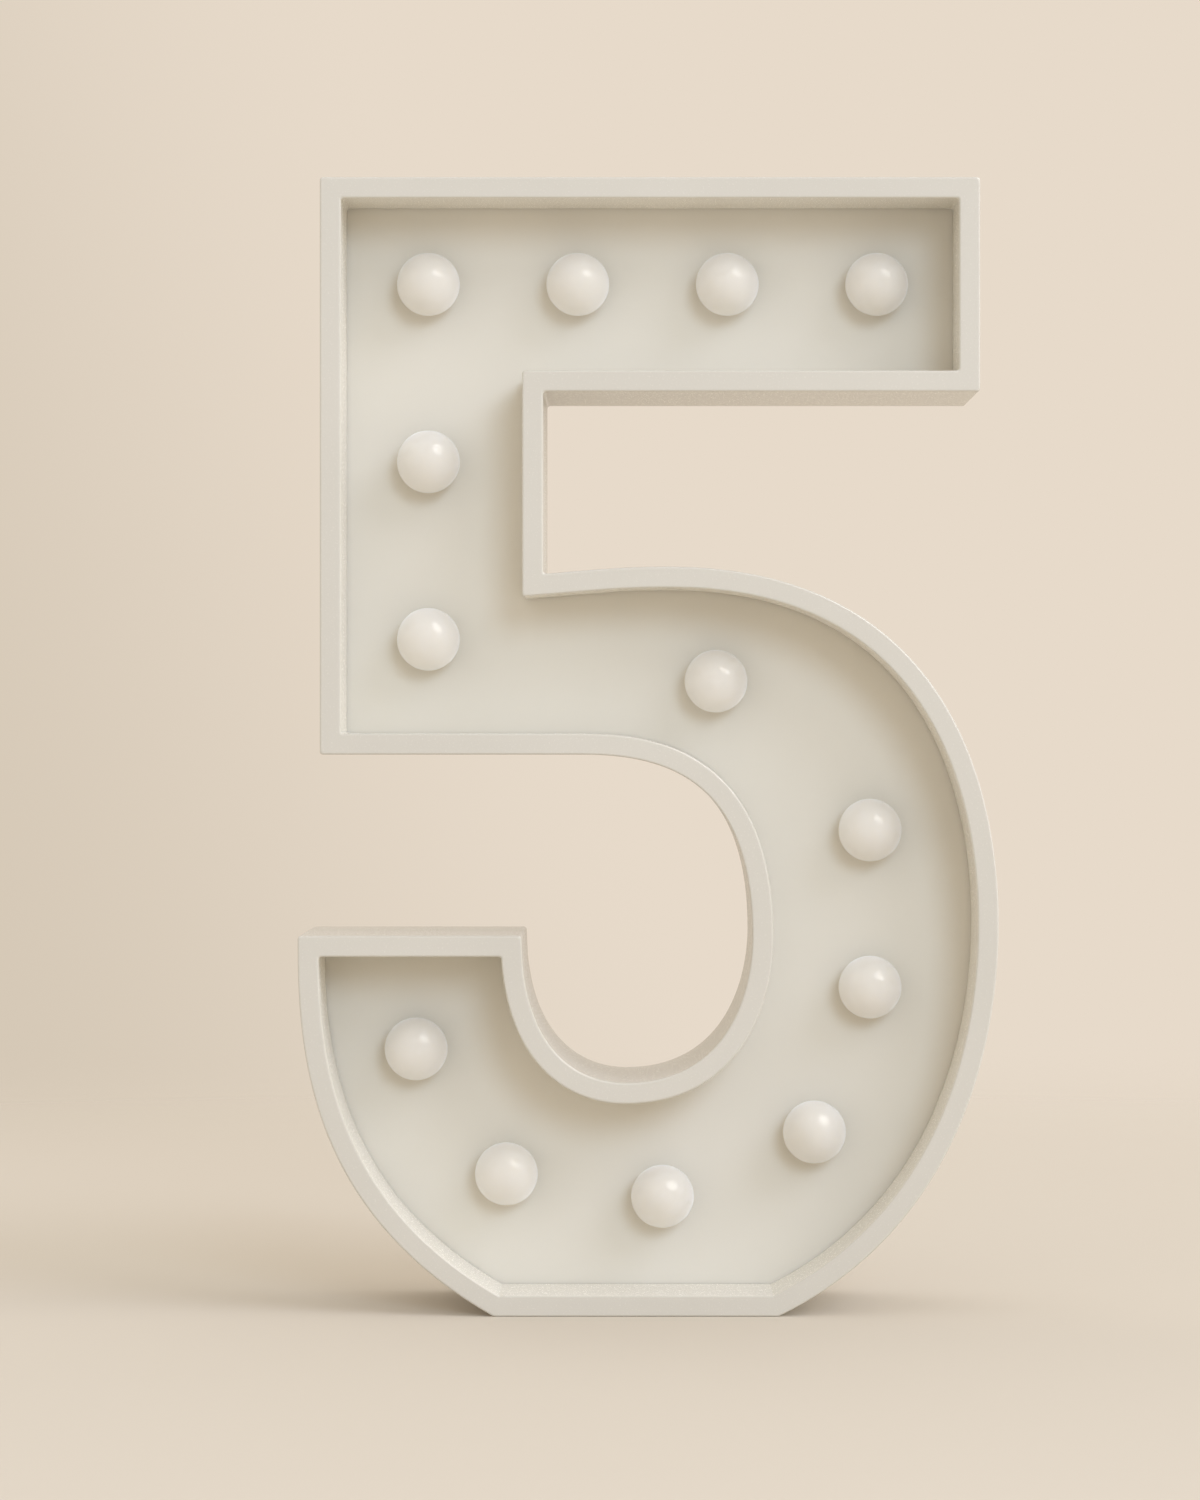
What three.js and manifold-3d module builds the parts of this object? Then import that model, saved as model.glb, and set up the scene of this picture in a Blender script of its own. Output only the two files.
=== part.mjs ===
// Light up marquee number: a battery operated numeral five with thirteen globe lamps.
//
// Millimetres. Every piece is modelled with the numeral lying on its back: x to the right, y up the
// numeral and z towards the viewer. The last lines stand it up, so that +Z is up, the face looks
// along -Y and the origin is on the table under the middle of the numeral.

import * as THREE from 'three';
import { mergeVertices } from 'three/addons/utils/BufferGeometryUtils.js';
import Module from 'manifold-3d';

const wasm = await Module();
wasm.setup();

// Outline of the numeral
const numeralWidth = 135.4;
const barLength = 127.5;
const barHeight = 41.4;
const stemWidth = 43.1;
const stemSetback = 4.3;
const notchHeight = 35.2;
const crownRise = 1.4;
const crownStroke = 36.3;
const mouthHeight = 35;
const hookHeight = 73.5;
const hookWidth = 43.2;
const counterWidth = 44.6;
const counterHeight = 63.4;
const baseWidth = 55;
const baseSetback = 37.8;
const rightFlankAngle = THREE.MathUtils.degToRad(25.7);
const leftFlankAngle = THREE.MathUtils.degToRad(29.5);

// Depths and walls of the housing
const numeralDepth = 44;
const innerWallDepth = 20;
const rimWidth = 4.05;
const wall = 1.3;
const edgeRound = 0.4;
const panelThickness = 1.6;
const coverThickness = 1.6;
const fit = 0.3;
const cutOverrun = 1;

// Globes and their places
const globeDiameter = 12.3;
const globeStandOff = 5;
const neckDiameter = 7.8;
const barbDiameter = 9;
const barbLength = 1;
const barLampDrop = 19.4;
const barLampSetback = 20.3;
const barLampPitch = 29.3;
const barLampCount = 4;
const stemLampRise = 22.5;
const stemLampCount = 2;

// Light emitting diodes
const diodeDiameter = 5;
const diodeLength = 7.6;
const diodeFlangeDiameter = 5.8;
const diodeFlangeThickness = 0.8;
const legWidth = 0.5;
const legLength = 1.7;
const legPitch = 2.54;

// Cover screws and the bosses they bite in
const screwSetback = 6.2;
const baseScrewSetback = 3.1;
const shankDiameter = 2.2;
const shankLength = 9;
const screwHeadDiameter = 4.4;
const screwHeadHeight = 1.5;
const bossWall = 1.2;
const cupFloor = 1.2;
const cupWall = 1.1;
const pilotDepth = 10;

// Cells, battery bay and door
const cellDiameter = 14.2;
const cellLength = 50.5;
const nubDiameter = 5.5;
const nubHeight = 1.2;
const cellGap = 0.6;
const cellEdge = 0.5;
const bayWall = 1.4;
const bayRise = 11;
const baySideGap = 0.5;
const doorThickness = 1.3;
const doorCorner = 1.5;
const tabWidth = 4;
const tabThickness = 1;
const tabReach = 1.2;
const tabSetback = 1.4;
const tongueWidth = 12;
const tongueLength = 8;
const tongueSlot = 0.8;
const hookThickness = 1.2;
const hookDepth = 2.5;
const barbReach = 0.2;
const gripGroove = 0.5;
const gripCount = 3;

// Battery contacts
const plateThickness = 0.4;
const plateSize = 9.2;
const tagWidth = 2.4;
const tagReach = 3;
const springLength = 5;
const springBaseDiameter = 7.2;
const springTipDiameter = 5;
const springWire = 0.5;
const springTurns = 3.5;

// Slide switch
const knobLength = 4.8;
const knobWidth = 4;
const switchTravel = 3;
const sliderLength = 12.4;
const sliderWidth = 6.4;
const sliderThickness = 0.9;
const leverSize = 2;
const leverDepth = 1.4;
const switchLength = 12;
const switchWidth = 6.5;
const switchHeight = 5;
const earSpan = 25;
const earThickness = 0.8;
const stakeDiameter = 1.8;
const postDiameter = 3.6;
const stakePitch = 21;
const terminalWidth = 1;
const terminalThickness = 0.5;
const terminalLength = 2.8;
const terminalPitch = 4;

// Keyhole slots
const keyholeSetback = 17.8;
const keyholeDrop = 22;
const keyholeHead = 8;
const keyholeNeck = 4;
const keyholeRise = 7;

// Wires and series resistor
const wireDiameter = 1;
const wireDepth = 3.1;
const resistorDiameter = 2.2;
const resistorLength = 4.2;
const resistorLead = 0.6;

// Facets
const facetAngle = THREE.MathUtils.degToRad(7.5);
const globeSides = 12;
const globeRings = 6;
const holeSides = 12;
const smallSides = 8;
const cellSides = 16;
const wireSides = 8;
const springSides = 5;
const springStepsPerTurn = 8;
const cornerSteps = 4;
const gapSamples = 200;
const wireStepsPerSpan = 4;
const leadSteps = 10;
const mergeTolerance = 1e-4;

// Shares that shape the outline's curves, each of the run or the rise that its curve spans
const crownShare = 0.277;
const waistShare = 0.524;
const hipShares = [0.434, 0.418];
const shoulderShares = [0.407, 0.827];
const browShares = [0.4, 0.45];
const archShare = 0.253;
const archShares = [0.458, 0.9];
const counterWaistShare = 0.443;
const counterFloorShare = 0.45;
const counterHipShares = [0.3, 0.862];
const counterHeelShares = [0.403, 0.82];
const hookShares = [0.272, 0.582];

// Shares that place the lamps of the bowl, across and up the stretch that each stands on
const crownLampShares = [0.382, 0.394];
const shoulderLampShares = [0.492, 0.257];
const hipLampShares = [0.492, 0.827];
const flankLampShares = [0.263, 0.453];
const floorLampShares = [0.595, 0.483];
const heelLampShares = [0.924, 0.581];
const hookLampShares = [0.514, 0.69];

// Shares of a screw's flat top in its head, and of the positive lead's run before its bend
const screwTopShare = 0.64;
const leadBendShare = 0.3;

// Places on the outline
const left = -numeralWidth / 2;
const right = numeralWidth / 2;
const stemLeft = left + stemSetback;
const stemRight = stemLeft + stemWidth;
const barRight = stemLeft + barLength;
const mouthTop = hookHeight + mouthHeight;
const crownTop = mouthTop + crownStroke;
const notchBottom = crownTop - crownRise;
const barBottom = notchBottom + notchHeight;
const numeralHeight = barBottom + barHeight;
const crownX = THREE.MathUtils.lerp(stemRight, right, crownShare);
const waistY = crownTop * waistShare;
const counterBottom = mouthTop - counterHeight;
const hookRight = left + hookWidth;
const counterRight = hookRight + counterWidth;
const archX = THREE.MathUtils.lerp(hookRight, counterRight, archShare);
const counterFloorX = THREE.MathUtils.lerp(hookRight, counterRight, counterFloorShare);
const counterWaistY = THREE.MathUtils.lerp(counterBottom, mouthTop, counterWaistShare);
const baseLeft = left + baseSetback;
const baseRight = baseLeft + baseWidth;

// Depths, measured from the middle of the numeral towards the viewer
const front = numeralDepth / 2;
const back = -numeralDepth / 2;
const innerWallEnd = front - innerWallDepth;
const panelFront = innerWallEnd - fit;
const panelRear = panelFront - panelThickness;
const coverInside = back + coverThickness;
const wireZ = panelRear - wireDepth;

// Materials
const shellWhite = new THREE.MeshStandardMaterial({ color: 0xdad3c9, roughness: 0.62, metalness: 0 });
const panelWhite = new THREE.MeshStandardMaterial({ color: 0xd6cfc4, roughness: 0.68, metalness: 0 });
const coverWhite = new THREE.MeshStandardMaterial({ color: 0xd8d1c6, roughness: 0.66, metalness: 0 });
const globeMilk = new THREE.MeshStandardMaterial({ color: 0xe6e2d8, roughness: 0.32, metalness: 0 });
const diodeEpoxy = new THREE.MeshStandardMaterial({ color: 0xf0dfa8, roughness: 0.15, metalness: 0 });
const springSteel = new THREE.MeshStandardMaterial({ color: 0xc9c8c4, roughness: 0.3, metalness: 1 });
const screwSteel = new THREE.MeshStandardMaterial({ color: 0xb9b8b2, roughness: 0.35, metalness: 1 });
const cellSleeve = new THREE.MeshStandardMaterial({ color: 0x7d858c, roughness: 0.35, metalness: 0.4 });
const switchBlack = new THREE.MeshStandardMaterial({ color: 0x26262a, roughness: 0.5, metalness: 0 });
const knobWhite = new THREE.MeshStandardMaterial({ color: 0xcfc8bd, roughness: 0.55, metalness: 0 });
const wireRed = new THREE.MeshStandardMaterial({ color: 0xa8322c, roughness: 0.45, metalness: 0 });
const wireBlack = new THREE.MeshStandardMaterial({ color: 0x2b2b2d, roughness: 0.45, metalness: 0 });
const resistorTan = new THREE.MeshStandardMaterial({ color: 0xc8a878, roughness: 0.5, metalness: 0 });

function toSolid(geometry) {
  const plain = geometry.clone();
  plain.deleteAttribute('normal');
  plain.deleteAttribute('uv');
  const merged = mergeVertices(plain, mergeTolerance);
  return new wasm.Manifold(new wasm.Mesh({
    numProp: 3,
    vertProperties: merged.attributes.position.array,
    triVerts: new Uint32Array(merged.index.array),
  }));
}

function toGeometry(solid) {
  const mesh = solid.getMesh();
  const geometry = new THREE.BufferGeometry();
  geometry.setAttribute('position', new THREE.BufferAttribute(mesh.vertProperties, 3));
  geometry.setIndex(new THREE.BufferAttribute(mesh.triVerts, 1));
  geometry.computeVertexNormals();
  return geometry;
}

function join(geometries) {
  return geometries.map(toSolid).reduce((whole, piece) => whole.add(piece));
}

function cut(solid, geometries) {
  return geometries.map(toSolid).reduce((whole, piece) => whole.subtract(piece), solid);
}

// A slab of a flat shape between two depths
function slab(shape, low, high, segments = cornerSteps) {
  const geometry = new THREE.ExtrudeGeometry(shape, {
    depth: high - low,
    bevelEnabled: false,
    curveSegments: segments,
  });
  return geometry.translate(0, 0, low);
}

function block(x0, x1, y0, y1, z0, z1) {
  const geometry = new THREE.BoxGeometry(x1 - x0, y1 - y0, z1 - z0);
  return geometry.translate((x0 + x1) / 2, (y0 + y1) / 2, (z0 + z1) / 2);
}

function rod(x, y, diameter, low, high, sides = smallSides) {
  const geometry = new THREE.CylinderGeometry(diameter / 2, diameter / 2, high - low, sides);
  return geometry.rotateX(Math.PI / 2).translate(x, y, (low + high) / 2);
}

function roundedRectangle(x0, x1, y0, y1, radius) {
  const shape = new THREE.Shape();
  shape.absarc(x1 - radius, y0 + radius, radius, -Math.PI / 2, 0);
  shape.absarc(x1 - radius, y1 - radius, radius, 0, Math.PI / 2);
  shape.absarc(x0 + radius, y1 - radius, radius, Math.PI / 2, Math.PI);
  shape.absarc(x0 + radius, y0 + radius, radius, Math.PI, Math.PI * 1.5);
  return shape;
}

function regularPolygon(diameter, sides) {
  const corners = [];
  for (let i = 0; i < sides; i += 1) {
    const angle = (2 * Math.PI * i) / sides;
    corners.push(new THREE.Vector2(Math.cos(angle), Math.sin(angle)).multiplyScalar(diameter / 2));
  }
  return new THREE.Shape(corners);
}

function tube(curve, diameter, sides, steps) {
  return new THREE.ExtrudeGeometry(regularPolygon(diameter, sides), {
    steps,
    extrudePath: curve,
    bevelEnabled: false,
  });
}

// The points of one stretch but its last, one for every few degrees that it turns
function curvePoints(curve) {
  const turn = curve.getTangent(0).angleTo(curve.getTangent(1));
  return curve.getPoints(Math.max(1, Math.ceil(turn / facetAngle))).slice(0, -1);
}

// The numeral's outer edge, anticlockwise from the base's left corner
function numeralOutline() {
  const path = new THREE.Path();
  const hip = waistY * hipShares[0];
  const heel = hookHeight * hookShares[1];
  path.moveTo(baseLeft, 0);
  path.lineTo(baseRight, 0);
  path.bezierCurveTo(
    baseRight + hip * Math.cos(rightFlankAngle), hip * Math.sin(rightFlankAngle),
    right, waistY * (1 - hipShares[1]),
    right, waistY,
  );
  path.bezierCurveTo(
    right, THREE.MathUtils.lerp(waistY, crownTop, shoulderShares[0]),
    THREE.MathUtils.lerp(crownX, right, shoulderShares[1]), crownTop,
    crownX, crownTop,
  );
  path.bezierCurveTo(
    THREE.MathUtils.lerp(crownX, stemRight, browShares[0]), crownTop,
    THREE.MathUtils.lerp(stemRight, crownX, browShares[0]),
    THREE.MathUtils.lerp(crownTop, notchBottom, browShares[1]),
    stemRight, notchBottom,
  );
  path.lineTo(stemRight, barBottom);
  path.lineTo(barRight, barBottom);
  path.lineTo(barRight, numeralHeight);
  path.lineTo(stemLeft, numeralHeight);
  path.lineTo(stemLeft, mouthTop);
  path.lineTo(archX, mouthTop);
  path.bezierCurveTo(
    THREE.MathUtils.lerp(archX, counterRight, archShares[0]), mouthTop,
    counterRight, THREE.MathUtils.lerp(counterWaistY, mouthTop, archShares[1]),
    counterRight, counterWaistY,
  );
  path.bezierCurveTo(
    counterRight, THREE.MathUtils.lerp(counterWaistY, counterBottom, counterHipShares[0]),
    THREE.MathUtils.lerp(counterFloorX, counterRight, counterHipShares[1]), counterBottom,
    counterFloorX, counterBottom,
  );
  path.bezierCurveTo(
    THREE.MathUtils.lerp(counterFloorX, hookRight, counterHeelShares[0]), counterBottom,
    hookRight, THREE.MathUtils.lerp(hookHeight, counterBottom, counterHeelShares[1]),
    hookRight, hookHeight,
  );
  path.lineTo(left, hookHeight);
  path.bezierCurveTo(
    left, hookHeight * (1 - hookShares[0]),
    baseLeft - heel * Math.cos(leftFlankAngle), heel * Math.sin(leftFlankAngle),
    baseLeft, 0,
  );
  return path.curves.flatMap(curvePoints);
}

// Moves a closed outline inwards, corner by corner, with mitred corners
function inset(outline, distance) {
  const count = outline.length;
  return outline.map((point, i) => {
    const before = outline[(i + count - 1) % count];
    const after = outline[(i + 1) % count];
    const arriving = new THREE.Vector2().subVectors(point, before).normalize();
    const leaving = new THREE.Vector2().subVectors(after, point).normalize();
    const inwards = new THREE.Vector2(-leaving.y, leaving.x);
    const mitre = new THREE.Vector2(-arriving.y, arriving.x).add(inwards).normalize();
    return point.clone().addScaledVector(mitre, distance / mitre.dot(inwards));
  });
}

// Sweeps a closed profile of [inset, depth] corners around a closed outline
function sweepAround(outline, profile) {
  const rings = profile.map(([distance]) => inset(outline, distance));
  const positions = [];
  const indices = [];
  const around = outline.length;
  const across = profile.length;
  for (let j = 0; j < across; j += 1) {
    rings[j].forEach((point) => positions.push(point.x, point.y, profile[j][1]));
  }
  for (let j = 0; j < across; j += 1) {
    const next = (j + 1) % across;
    for (let i = 0; i < around; i += 1) {
      const a = j * around + i;
      const b = j * around + ((i + 1) % around);
      const c = next * around + ((i + 1) % around);
      const d = next * around + i;
      indices.push(a, b, c, a, c, d);
    }
  }
  const geometry = new THREE.BufferGeometry();
  geometry.setAttribute('position', new THREE.Float32BufferAttribute(positions, 3));
  geometry.setIndex(indices);
  geometry.computeVertexNormals();
  return geometry;
}

const outline = numeralOutline();

// Where the lamps stand: along the bar, down the stem and round the bowl to the hook
function lampPlaces() {
  const firstX = stemLeft + barLampSetback;
  const rowY = numeralHeight - barLampDrop;
  const places = [];
  for (let i = barLampCount - 1; i >= 0; i -= 1) {
    places.push(new THREE.Vector2(firstX + i * barLampPitch, rowY));
  }
  for (let i = 1; i <= stemLampCount; i += 1) {
    const share = i / stemLampCount;
    places.push(new THREE.Vector2(firstX, THREE.MathUtils.lerp(rowY, mouthTop + stemLampRise, share)));
  }
  const stretches = [
    [stemRight, right, mouthTop, crownTop, crownLampShares],
    [counterRight, right, waistY, crownTop, shoulderLampShares],
    [counterRight, right, 0, waistY, hipLampShares],
    [counterRight, right, 0, waistY, flankLampShares],
    [baseLeft, baseRight, 0, counterBottom, floorLampShares],
    [left, hookRight, 0, counterBottom, heelLampShares],
    [left, hookRight, 0, hookHeight, hookLampShares],
  ];
  stretches.forEach(([x0, x1, y0, y1, shares]) => places.push(new THREE.Vector2(
    THREE.MathUtils.lerp(x0, x1, shares[0]),
    THREE.MathUtils.lerp(y0, y1, shares[1]),
  )));
  return places;
}

const lamps = lampPlaces();

// Where the cover's screws stand, each drawn in from a corner or an edge of the numeral
function screwPlaces() {
  return [
    new THREE.Vector2(stemLeft + screwSetback, numeralHeight - screwSetback),
    new THREE.Vector2(barRight - screwSetback, numeralHeight - screwSetback),
    new THREE.Vector2(stemLeft + screwSetback, mouthTop + screwSetback),
    new THREE.Vector2(stemRight + screwSetback, notchBottom - screwSetback),
    new THREE.Vector2(right - screwSetback, waistY),
    new THREE.Vector2(baseRight - baseScrewSetback, screwSetback),
    new THREE.Vector2(baseLeft + baseScrewSetback, screwSetback),
    new THREE.Vector2(left + screwSetback, hookHeight - screwSetback),
  ];
}

const screws = screwPlaces();

// Seats of a cover screw, from the back of the cover inwards
const headSeat = back + screwHeadHeight + fit * 2;
const cupBottom = headSeat + cupFloor;
const bossRear = cupBottom + fit;
const cupDiameter = screwHeadDiameter + fit * 2 + cupWall * 2;
const holeDiameter = shankDiameter + fit * 2;
const bossDiameter = holeDiameter + bossWall * 2;

// Moulded channel frame: outer wall, flat rim and inner wall, mitred round the whole outline
function sideFrame() {
  const bend = edgeRound * (1 - Math.SQRT1_2);
  const profile = [
    [0, back],
    [0, front - edgeRound],
    [bend, front - bend],
    [edgeRound, front],
    [rimWidth - edgeRound, front],
    [rimWidth - bend, front - bend],
    [rimWidth, front - edgeRound],
    [rimWidth, innerWallEnd],
    [rimWidth - wall, innerWallEnd],
    [rimWidth - wall, front - wall],
    [wall, front - wall],
    [wall, back],
  ];
  return sweepAround(outline, profile);
}

// Face panel behind the inner wall, with a hole for each globe and the cover's screw bosses
function facePanel() {
  const shape = new THREE.Shape(inset(outline, wall + fit));
  const holeRadius = neckDiameter / 2 + fit;
  lamps.forEach((lamp) => {
    const hole = new THREE.Path();
    hole.absarc(lamp.x, lamp.y, holeRadius, 0, Math.PI * 2, true);
    shape.holes.push(hole);
  });
  const plate = slab(shape, panelRear, panelFront, holeSides / 2);
  const bosses = screws.map(({ x, y }) => (
    rod(x, y, bossDiameter, bossRear, panelRear + panelThickness / 2)
  ));
  const pilots = screws.map(({ x, y }) => (
    rod(x, y, holeDiameter, bossRear - cutOverrun, bossRear + pilotDepth)
  ));
  return toGeometry(cut(join([plate, ...bosses]), pilots));
}

// Moulded globe: a ball on a barbed neck, with a blind bore for its diode
function globe() {
  const radius = globeDiameter / 2;
  const seat = panelFront + fit;
  const centre = seat + globeStandOff;
  const startAngle = Math.acos((seat - centre) / radius);
  const profile = [];
  for (let i = 0; i <= globeRings; i += 1) {
    const angle = (startAngle * i) / globeRings;
    const x = i === 0 ? 0 : radius * Math.sin(angle);
    profile.push(new THREE.Vector2(x, centre + radius * Math.cos(angle)));
  }
  const barbFront = panelRear - fit;
  const bore = diodeDiameter / 2 + fit;
  profile.push(new THREE.Vector2(neckDiameter / 2, seat));
  profile.push(new THREE.Vector2(neckDiameter / 2, barbFront));
  profile.push(new THREE.Vector2(barbDiameter / 2, barbFront));
  profile.push(new THREE.Vector2(neckDiameter / 2, barbFront - barbLength));
  profile.push(new THREE.Vector2(bore, barbFront - barbLength));
  profile.push(new THREE.Vector2(bore, barbFront - barbLength + diodeLength));
  profile.push(new THREE.Vector2(0, barbFront - barbLength + diodeLength + fit));
  return new THREE.LatheGeometry(profile.reverse(), globeSides).rotateX(Math.PI / 2);
}

const neckRear = panelRear - fit - barbLength;

// Round diode: a domed body, its flange and two clipped legs
function diode(turn) {
  const flangeFront = neckRear - fit;
  const flangeRear = flangeFront - diodeFlangeThickness;
  const radius = diodeDiameter / 2;
  const tip = flangeFront + diodeLength - fit;
  const profile = [
    new THREE.Vector2(0, flangeRear),
    new THREE.Vector2(diodeFlangeDiameter / 2, flangeRear),
    new THREE.Vector2(diodeFlangeDiameter / 2, flangeFront),
    new THREE.Vector2(radius, flangeFront),
    new THREE.Vector2(radius, tip - radius),
    new THREE.Vector2(radius * Math.SQRT1_2, tip - radius * (1 - Math.SQRT1_2)),
    new THREE.Vector2(0, tip),
  ];
  const body = new THREE.LatheGeometry(profile, smallSides).rotateX(Math.PI / 2);
  const legs = [-legPitch / 2, legPitch / 2].map((x) => block(
    x - legWidth / 2, x + legWidth / 2,
    -legWidth / 2, legWidth / 2,
    flangeRear - legLength, flangeRear + diodeFlangeThickness / 2,
  ));
  return toGeometry(join([body, ...legs])).rotateZ(turn);
}

// Battery bay in the stem, open to the back: inside edges, then the door's opening round it
const bayX = (stemLeft + stemRight) / 2;
const bayHalfWidth = cellDiameter + cellGap / 2 + baySideGap;
const bayLow = mouthTop + bayRise;
const plateInset = fit + plateThickness;
const springSeat = plateInset + springLength + fit;
const bayHigh = bayLow + plateInset + fit + cellLength + springSeat;
const cellRear = back + doorThickness + fit;
const cellZ = cellRear + cellDiameter / 2;
const bayFloor = cellRear + cellDiameter + fit;
const ledge = bayWall / 2;
const openLow = bayLow - ledge;
const openHigh = bayHigh + ledge;
const openHalfWidth = bayHalfWidth + ledge;
const cellOffset = (cellDiameter + cellGap) / 2;
const tagSlotDepth = plateThickness + fit * 2;

// Middle line of each door tab, from the bay's middle
const tabX = bayHalfWidth - tabSetback - tabWidth / 2;

// Slide switch, right behind the lower wire of the bar's lamp string
const wireOffset = legPitch / 2 + legWidth / 2 + fit * 2 + wireDiameter / 2;
const switchX = (lamps[1].x + lamps[2].x) / 2;
const switchY = lamps[0].y - wireOffset;
const sliderRear = coverInside + fit;
const sliderFront = sliderRear + sliderThickness;
const switchRear = sliderFront + fit;
const switchFront = switchRear + switchHeight;
const terminalEnd = switchFront + terminalLength;
const windowLength = knobLength + switchTravel + fit * 2;

function keyhole(x) {
  const y = numeralHeight - keyholeDrop;
  const low = back - cutOverrun;
  const high = coverInside + cutOverrun;
  return [
    rod(x, y, keyholeHead, low, high, holeSides),
    block(x - keyholeNeck / 2, x + keyholeNeck / 2, y, y + keyholeRise, low, high),
    rod(x, y + keyholeRise, keyholeNeck, low, high),
  ];
}

// Rear cover: a plate inside the frame's outer wall, with the battery bay, the cups for the
// screw heads, the switch posts, the switch window and two keyholes
function rearCover() {
  const plate = slab(new THREE.Shape(inset(outline, wall + fit)), back, coverInside);
  const embed = back + coverThickness / 2;
  const bay = block(
    bayX - bayHalfWidth - bayWall, bayX + bayHalfWidth + bayWall,
    bayLow - bayWall, bayHigh + bayWall,
    embed, bayFloor + bayWall,
  );
  const cups = screws.map(({ x, y }) => rod(x, y, cupDiameter, embed, cupBottom, holeSides));
  const posts = [-stakePitch / 2, stakePitch / 2].flatMap((offset) => [
    rod(switchX + offset, switchY, postDiameter, embed, switchRear - fit),
    rod(switchX + offset, switchY, stakeDiameter, embed, switchRear + earThickness + fit * 2),
  ]);
  const doorOpening = slab(
    roundedRectangle(bayX - openHalfWidth, bayX + openHalfWidth, openLow, openHigh, doorCorner),
    back - cutOverrun, coverInside,
  );
  const bayInside = block(
    bayX - bayHalfWidth, bayX + bayHalfWidth, bayLow, bayHigh,
    back - cutOverrun, bayFloor,
  );
  const tabSlots = [-tabX, tabX].map((offset) => block(
    bayX + offset - tabWidth / 2 - fit, bayX + offset + tabWidth / 2 + fit,
    bayLow - bayWall - cutOverrun, bayLow + fit,
    coverInside, coverInside + tabThickness + tabReach,
  ));
  const hookSlot = block(
    bayX - tongueWidth / 2 - fit, bayX + tongueWidth / 2 + fit,
    bayHigh - fit, bayHigh + bayWall + cutOverrun,
    coverInside, coverInside + hookDepth + fit,
  );
  const tagSlots = [-cellOffset, cellOffset].map((offset) => block(
    bayX + offset - tagWidth / 2 - fit, bayX + offset + tagWidth / 2 + fit,
    bayHigh - fit, bayHigh + bayWall + cutOverrun,
    cellZ - tagSlotDepth / 2, cellZ + tagSlotDepth / 2,
  ));
  const counterbores = screws.flatMap(({ x, y }) => [
    rod(x, y, screwHeadDiameter + fit * 2, back - cutOverrun, headSeat, holeSides),
    rod(x, y, holeDiameter, headSeat - cutOverrun, cupBottom + cutOverrun),
  ]);
  const switchWindow = block(
    switchX - windowLength / 2, switchX + windowLength / 2,
    switchY - knobWidth / 2 - fit, switchY + knobWidth / 2 + fit,
    back - cutOverrun, coverInside + cutOverrun,
  );
  const cuts = [
    doorOpening, bayInside, ...tabSlots, hookSlot, ...tagSlots, ...counterbores, switchWindow,
    ...keyhole(stemLeft + keyholeSetback), ...keyhole(barRight - keyholeSetback),
  ];
  return toGeometry(cut(join([plate, bay, ...cups, ...posts]), cuts));
}

// Battery door: tabs under the cover at its foot, a sprung tongue with a catch at its head
function batteryDoor() {
  const inside = back + doorThickness;
  const low = openLow + fit;
  const high = openHigh - fit;
  const plate = slab(
    roundedRectangle(bayX - openHalfWidth + fit, bayX + openHalfWidth - fit, low, high, doorCorner),
    back, inside,
  );
  const tabRear = coverInside + fit;
  const tabs = [-tabX, tabX].flatMap((offset) => [
    block(
      bayX + offset - tabWidth / 2, bayX + offset + tabWidth / 2,
      low, low + tabThickness, inside - doorThickness / 2, tabRear + tabThickness,
    ),
    block(
      bayX + offset - tabWidth / 2, bayX + offset + tabWidth / 2,
      openLow - tabReach, low + tabThickness, tabRear, tabRear + tabThickness,
    ),
  ]);
  const catchBody = block(
    bayX - tongueWidth / 2, bayX + tongueWidth / 2,
    high - hookThickness, high, inside - doorThickness / 2, coverInside + hookDepth,
  );
  const catchBead = block(
    bayX - tongueWidth / 2, bayX + tongueWidth / 2,
    high - hookThickness, high + barbReach, coverInside + fit, coverInside + fit + tabThickness,
  );
  const tongueSlots = [-1, 1].map((side) => block(
    bayX + side * (tongueWidth / 2 + tongueSlot / 2) - tongueSlot / 2,
    bayX + side * (tongueWidth / 2 + tongueSlot / 2) + tongueSlot / 2,
    high - tongueLength, high + cutOverrun, back - cutOverrun, coverInside + hookDepth,
  ));
  const grips = [];
  for (let i = 1; i <= gripCount; i += 1) {
    const y = high - (tongueLength * i) / (gripCount + 1);
    grips.push(block(
      bayX - tongueWidth / 2 + tongueSlot, bayX + tongueWidth / 2 - tongueSlot,
      y - gripGroove / 2, y + gripGroove / 2, back - cutOverrun, back + gripGroove,
    ));
  }
  return toGeometry(cut(join([plate, ...tabs, catchBody, catchBead]), [...tongueSlots, ...grips]));
}

// AA cell standing on its flat end, its nub upwards
function cell() {
  const radius = cellDiameter / 2;
  const shoulder = cellLength - nubHeight;
  const profile = [
    new THREE.Vector2(0, 0),
    new THREE.Vector2(radius - cellEdge, 0),
    new THREE.Vector2(radius, cellEdge),
    new THREE.Vector2(radius, shoulder - cellEdge),
    new THREE.Vector2(radius - cellEdge, shoulder),
    new THREE.Vector2(nubDiameter / 2, shoulder),
    new THREE.Vector2(nubDiameter / 2, cellLength),
    new THREE.Vector2(0, cellLength),
  ];
  return new THREE.LatheGeometry(profile, cellSides);
}

// Middle line of a contact spring that stands on its plate at y = 0
class ConicalCoil extends THREE.Curve {
  getPoint(t, target = new THREE.Vector3()) {
    const angle = 2 * Math.PI * springTurns * t;
    const radius = THREE.MathUtils.lerp(springBaseDiameter, springTipDiameter, t) / 2;
    const rise = (springLength - springWire / 2) * t;
    return target.set(radius * Math.cos(angle), rise, radius * Math.sin(angle));
  }
}

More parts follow.
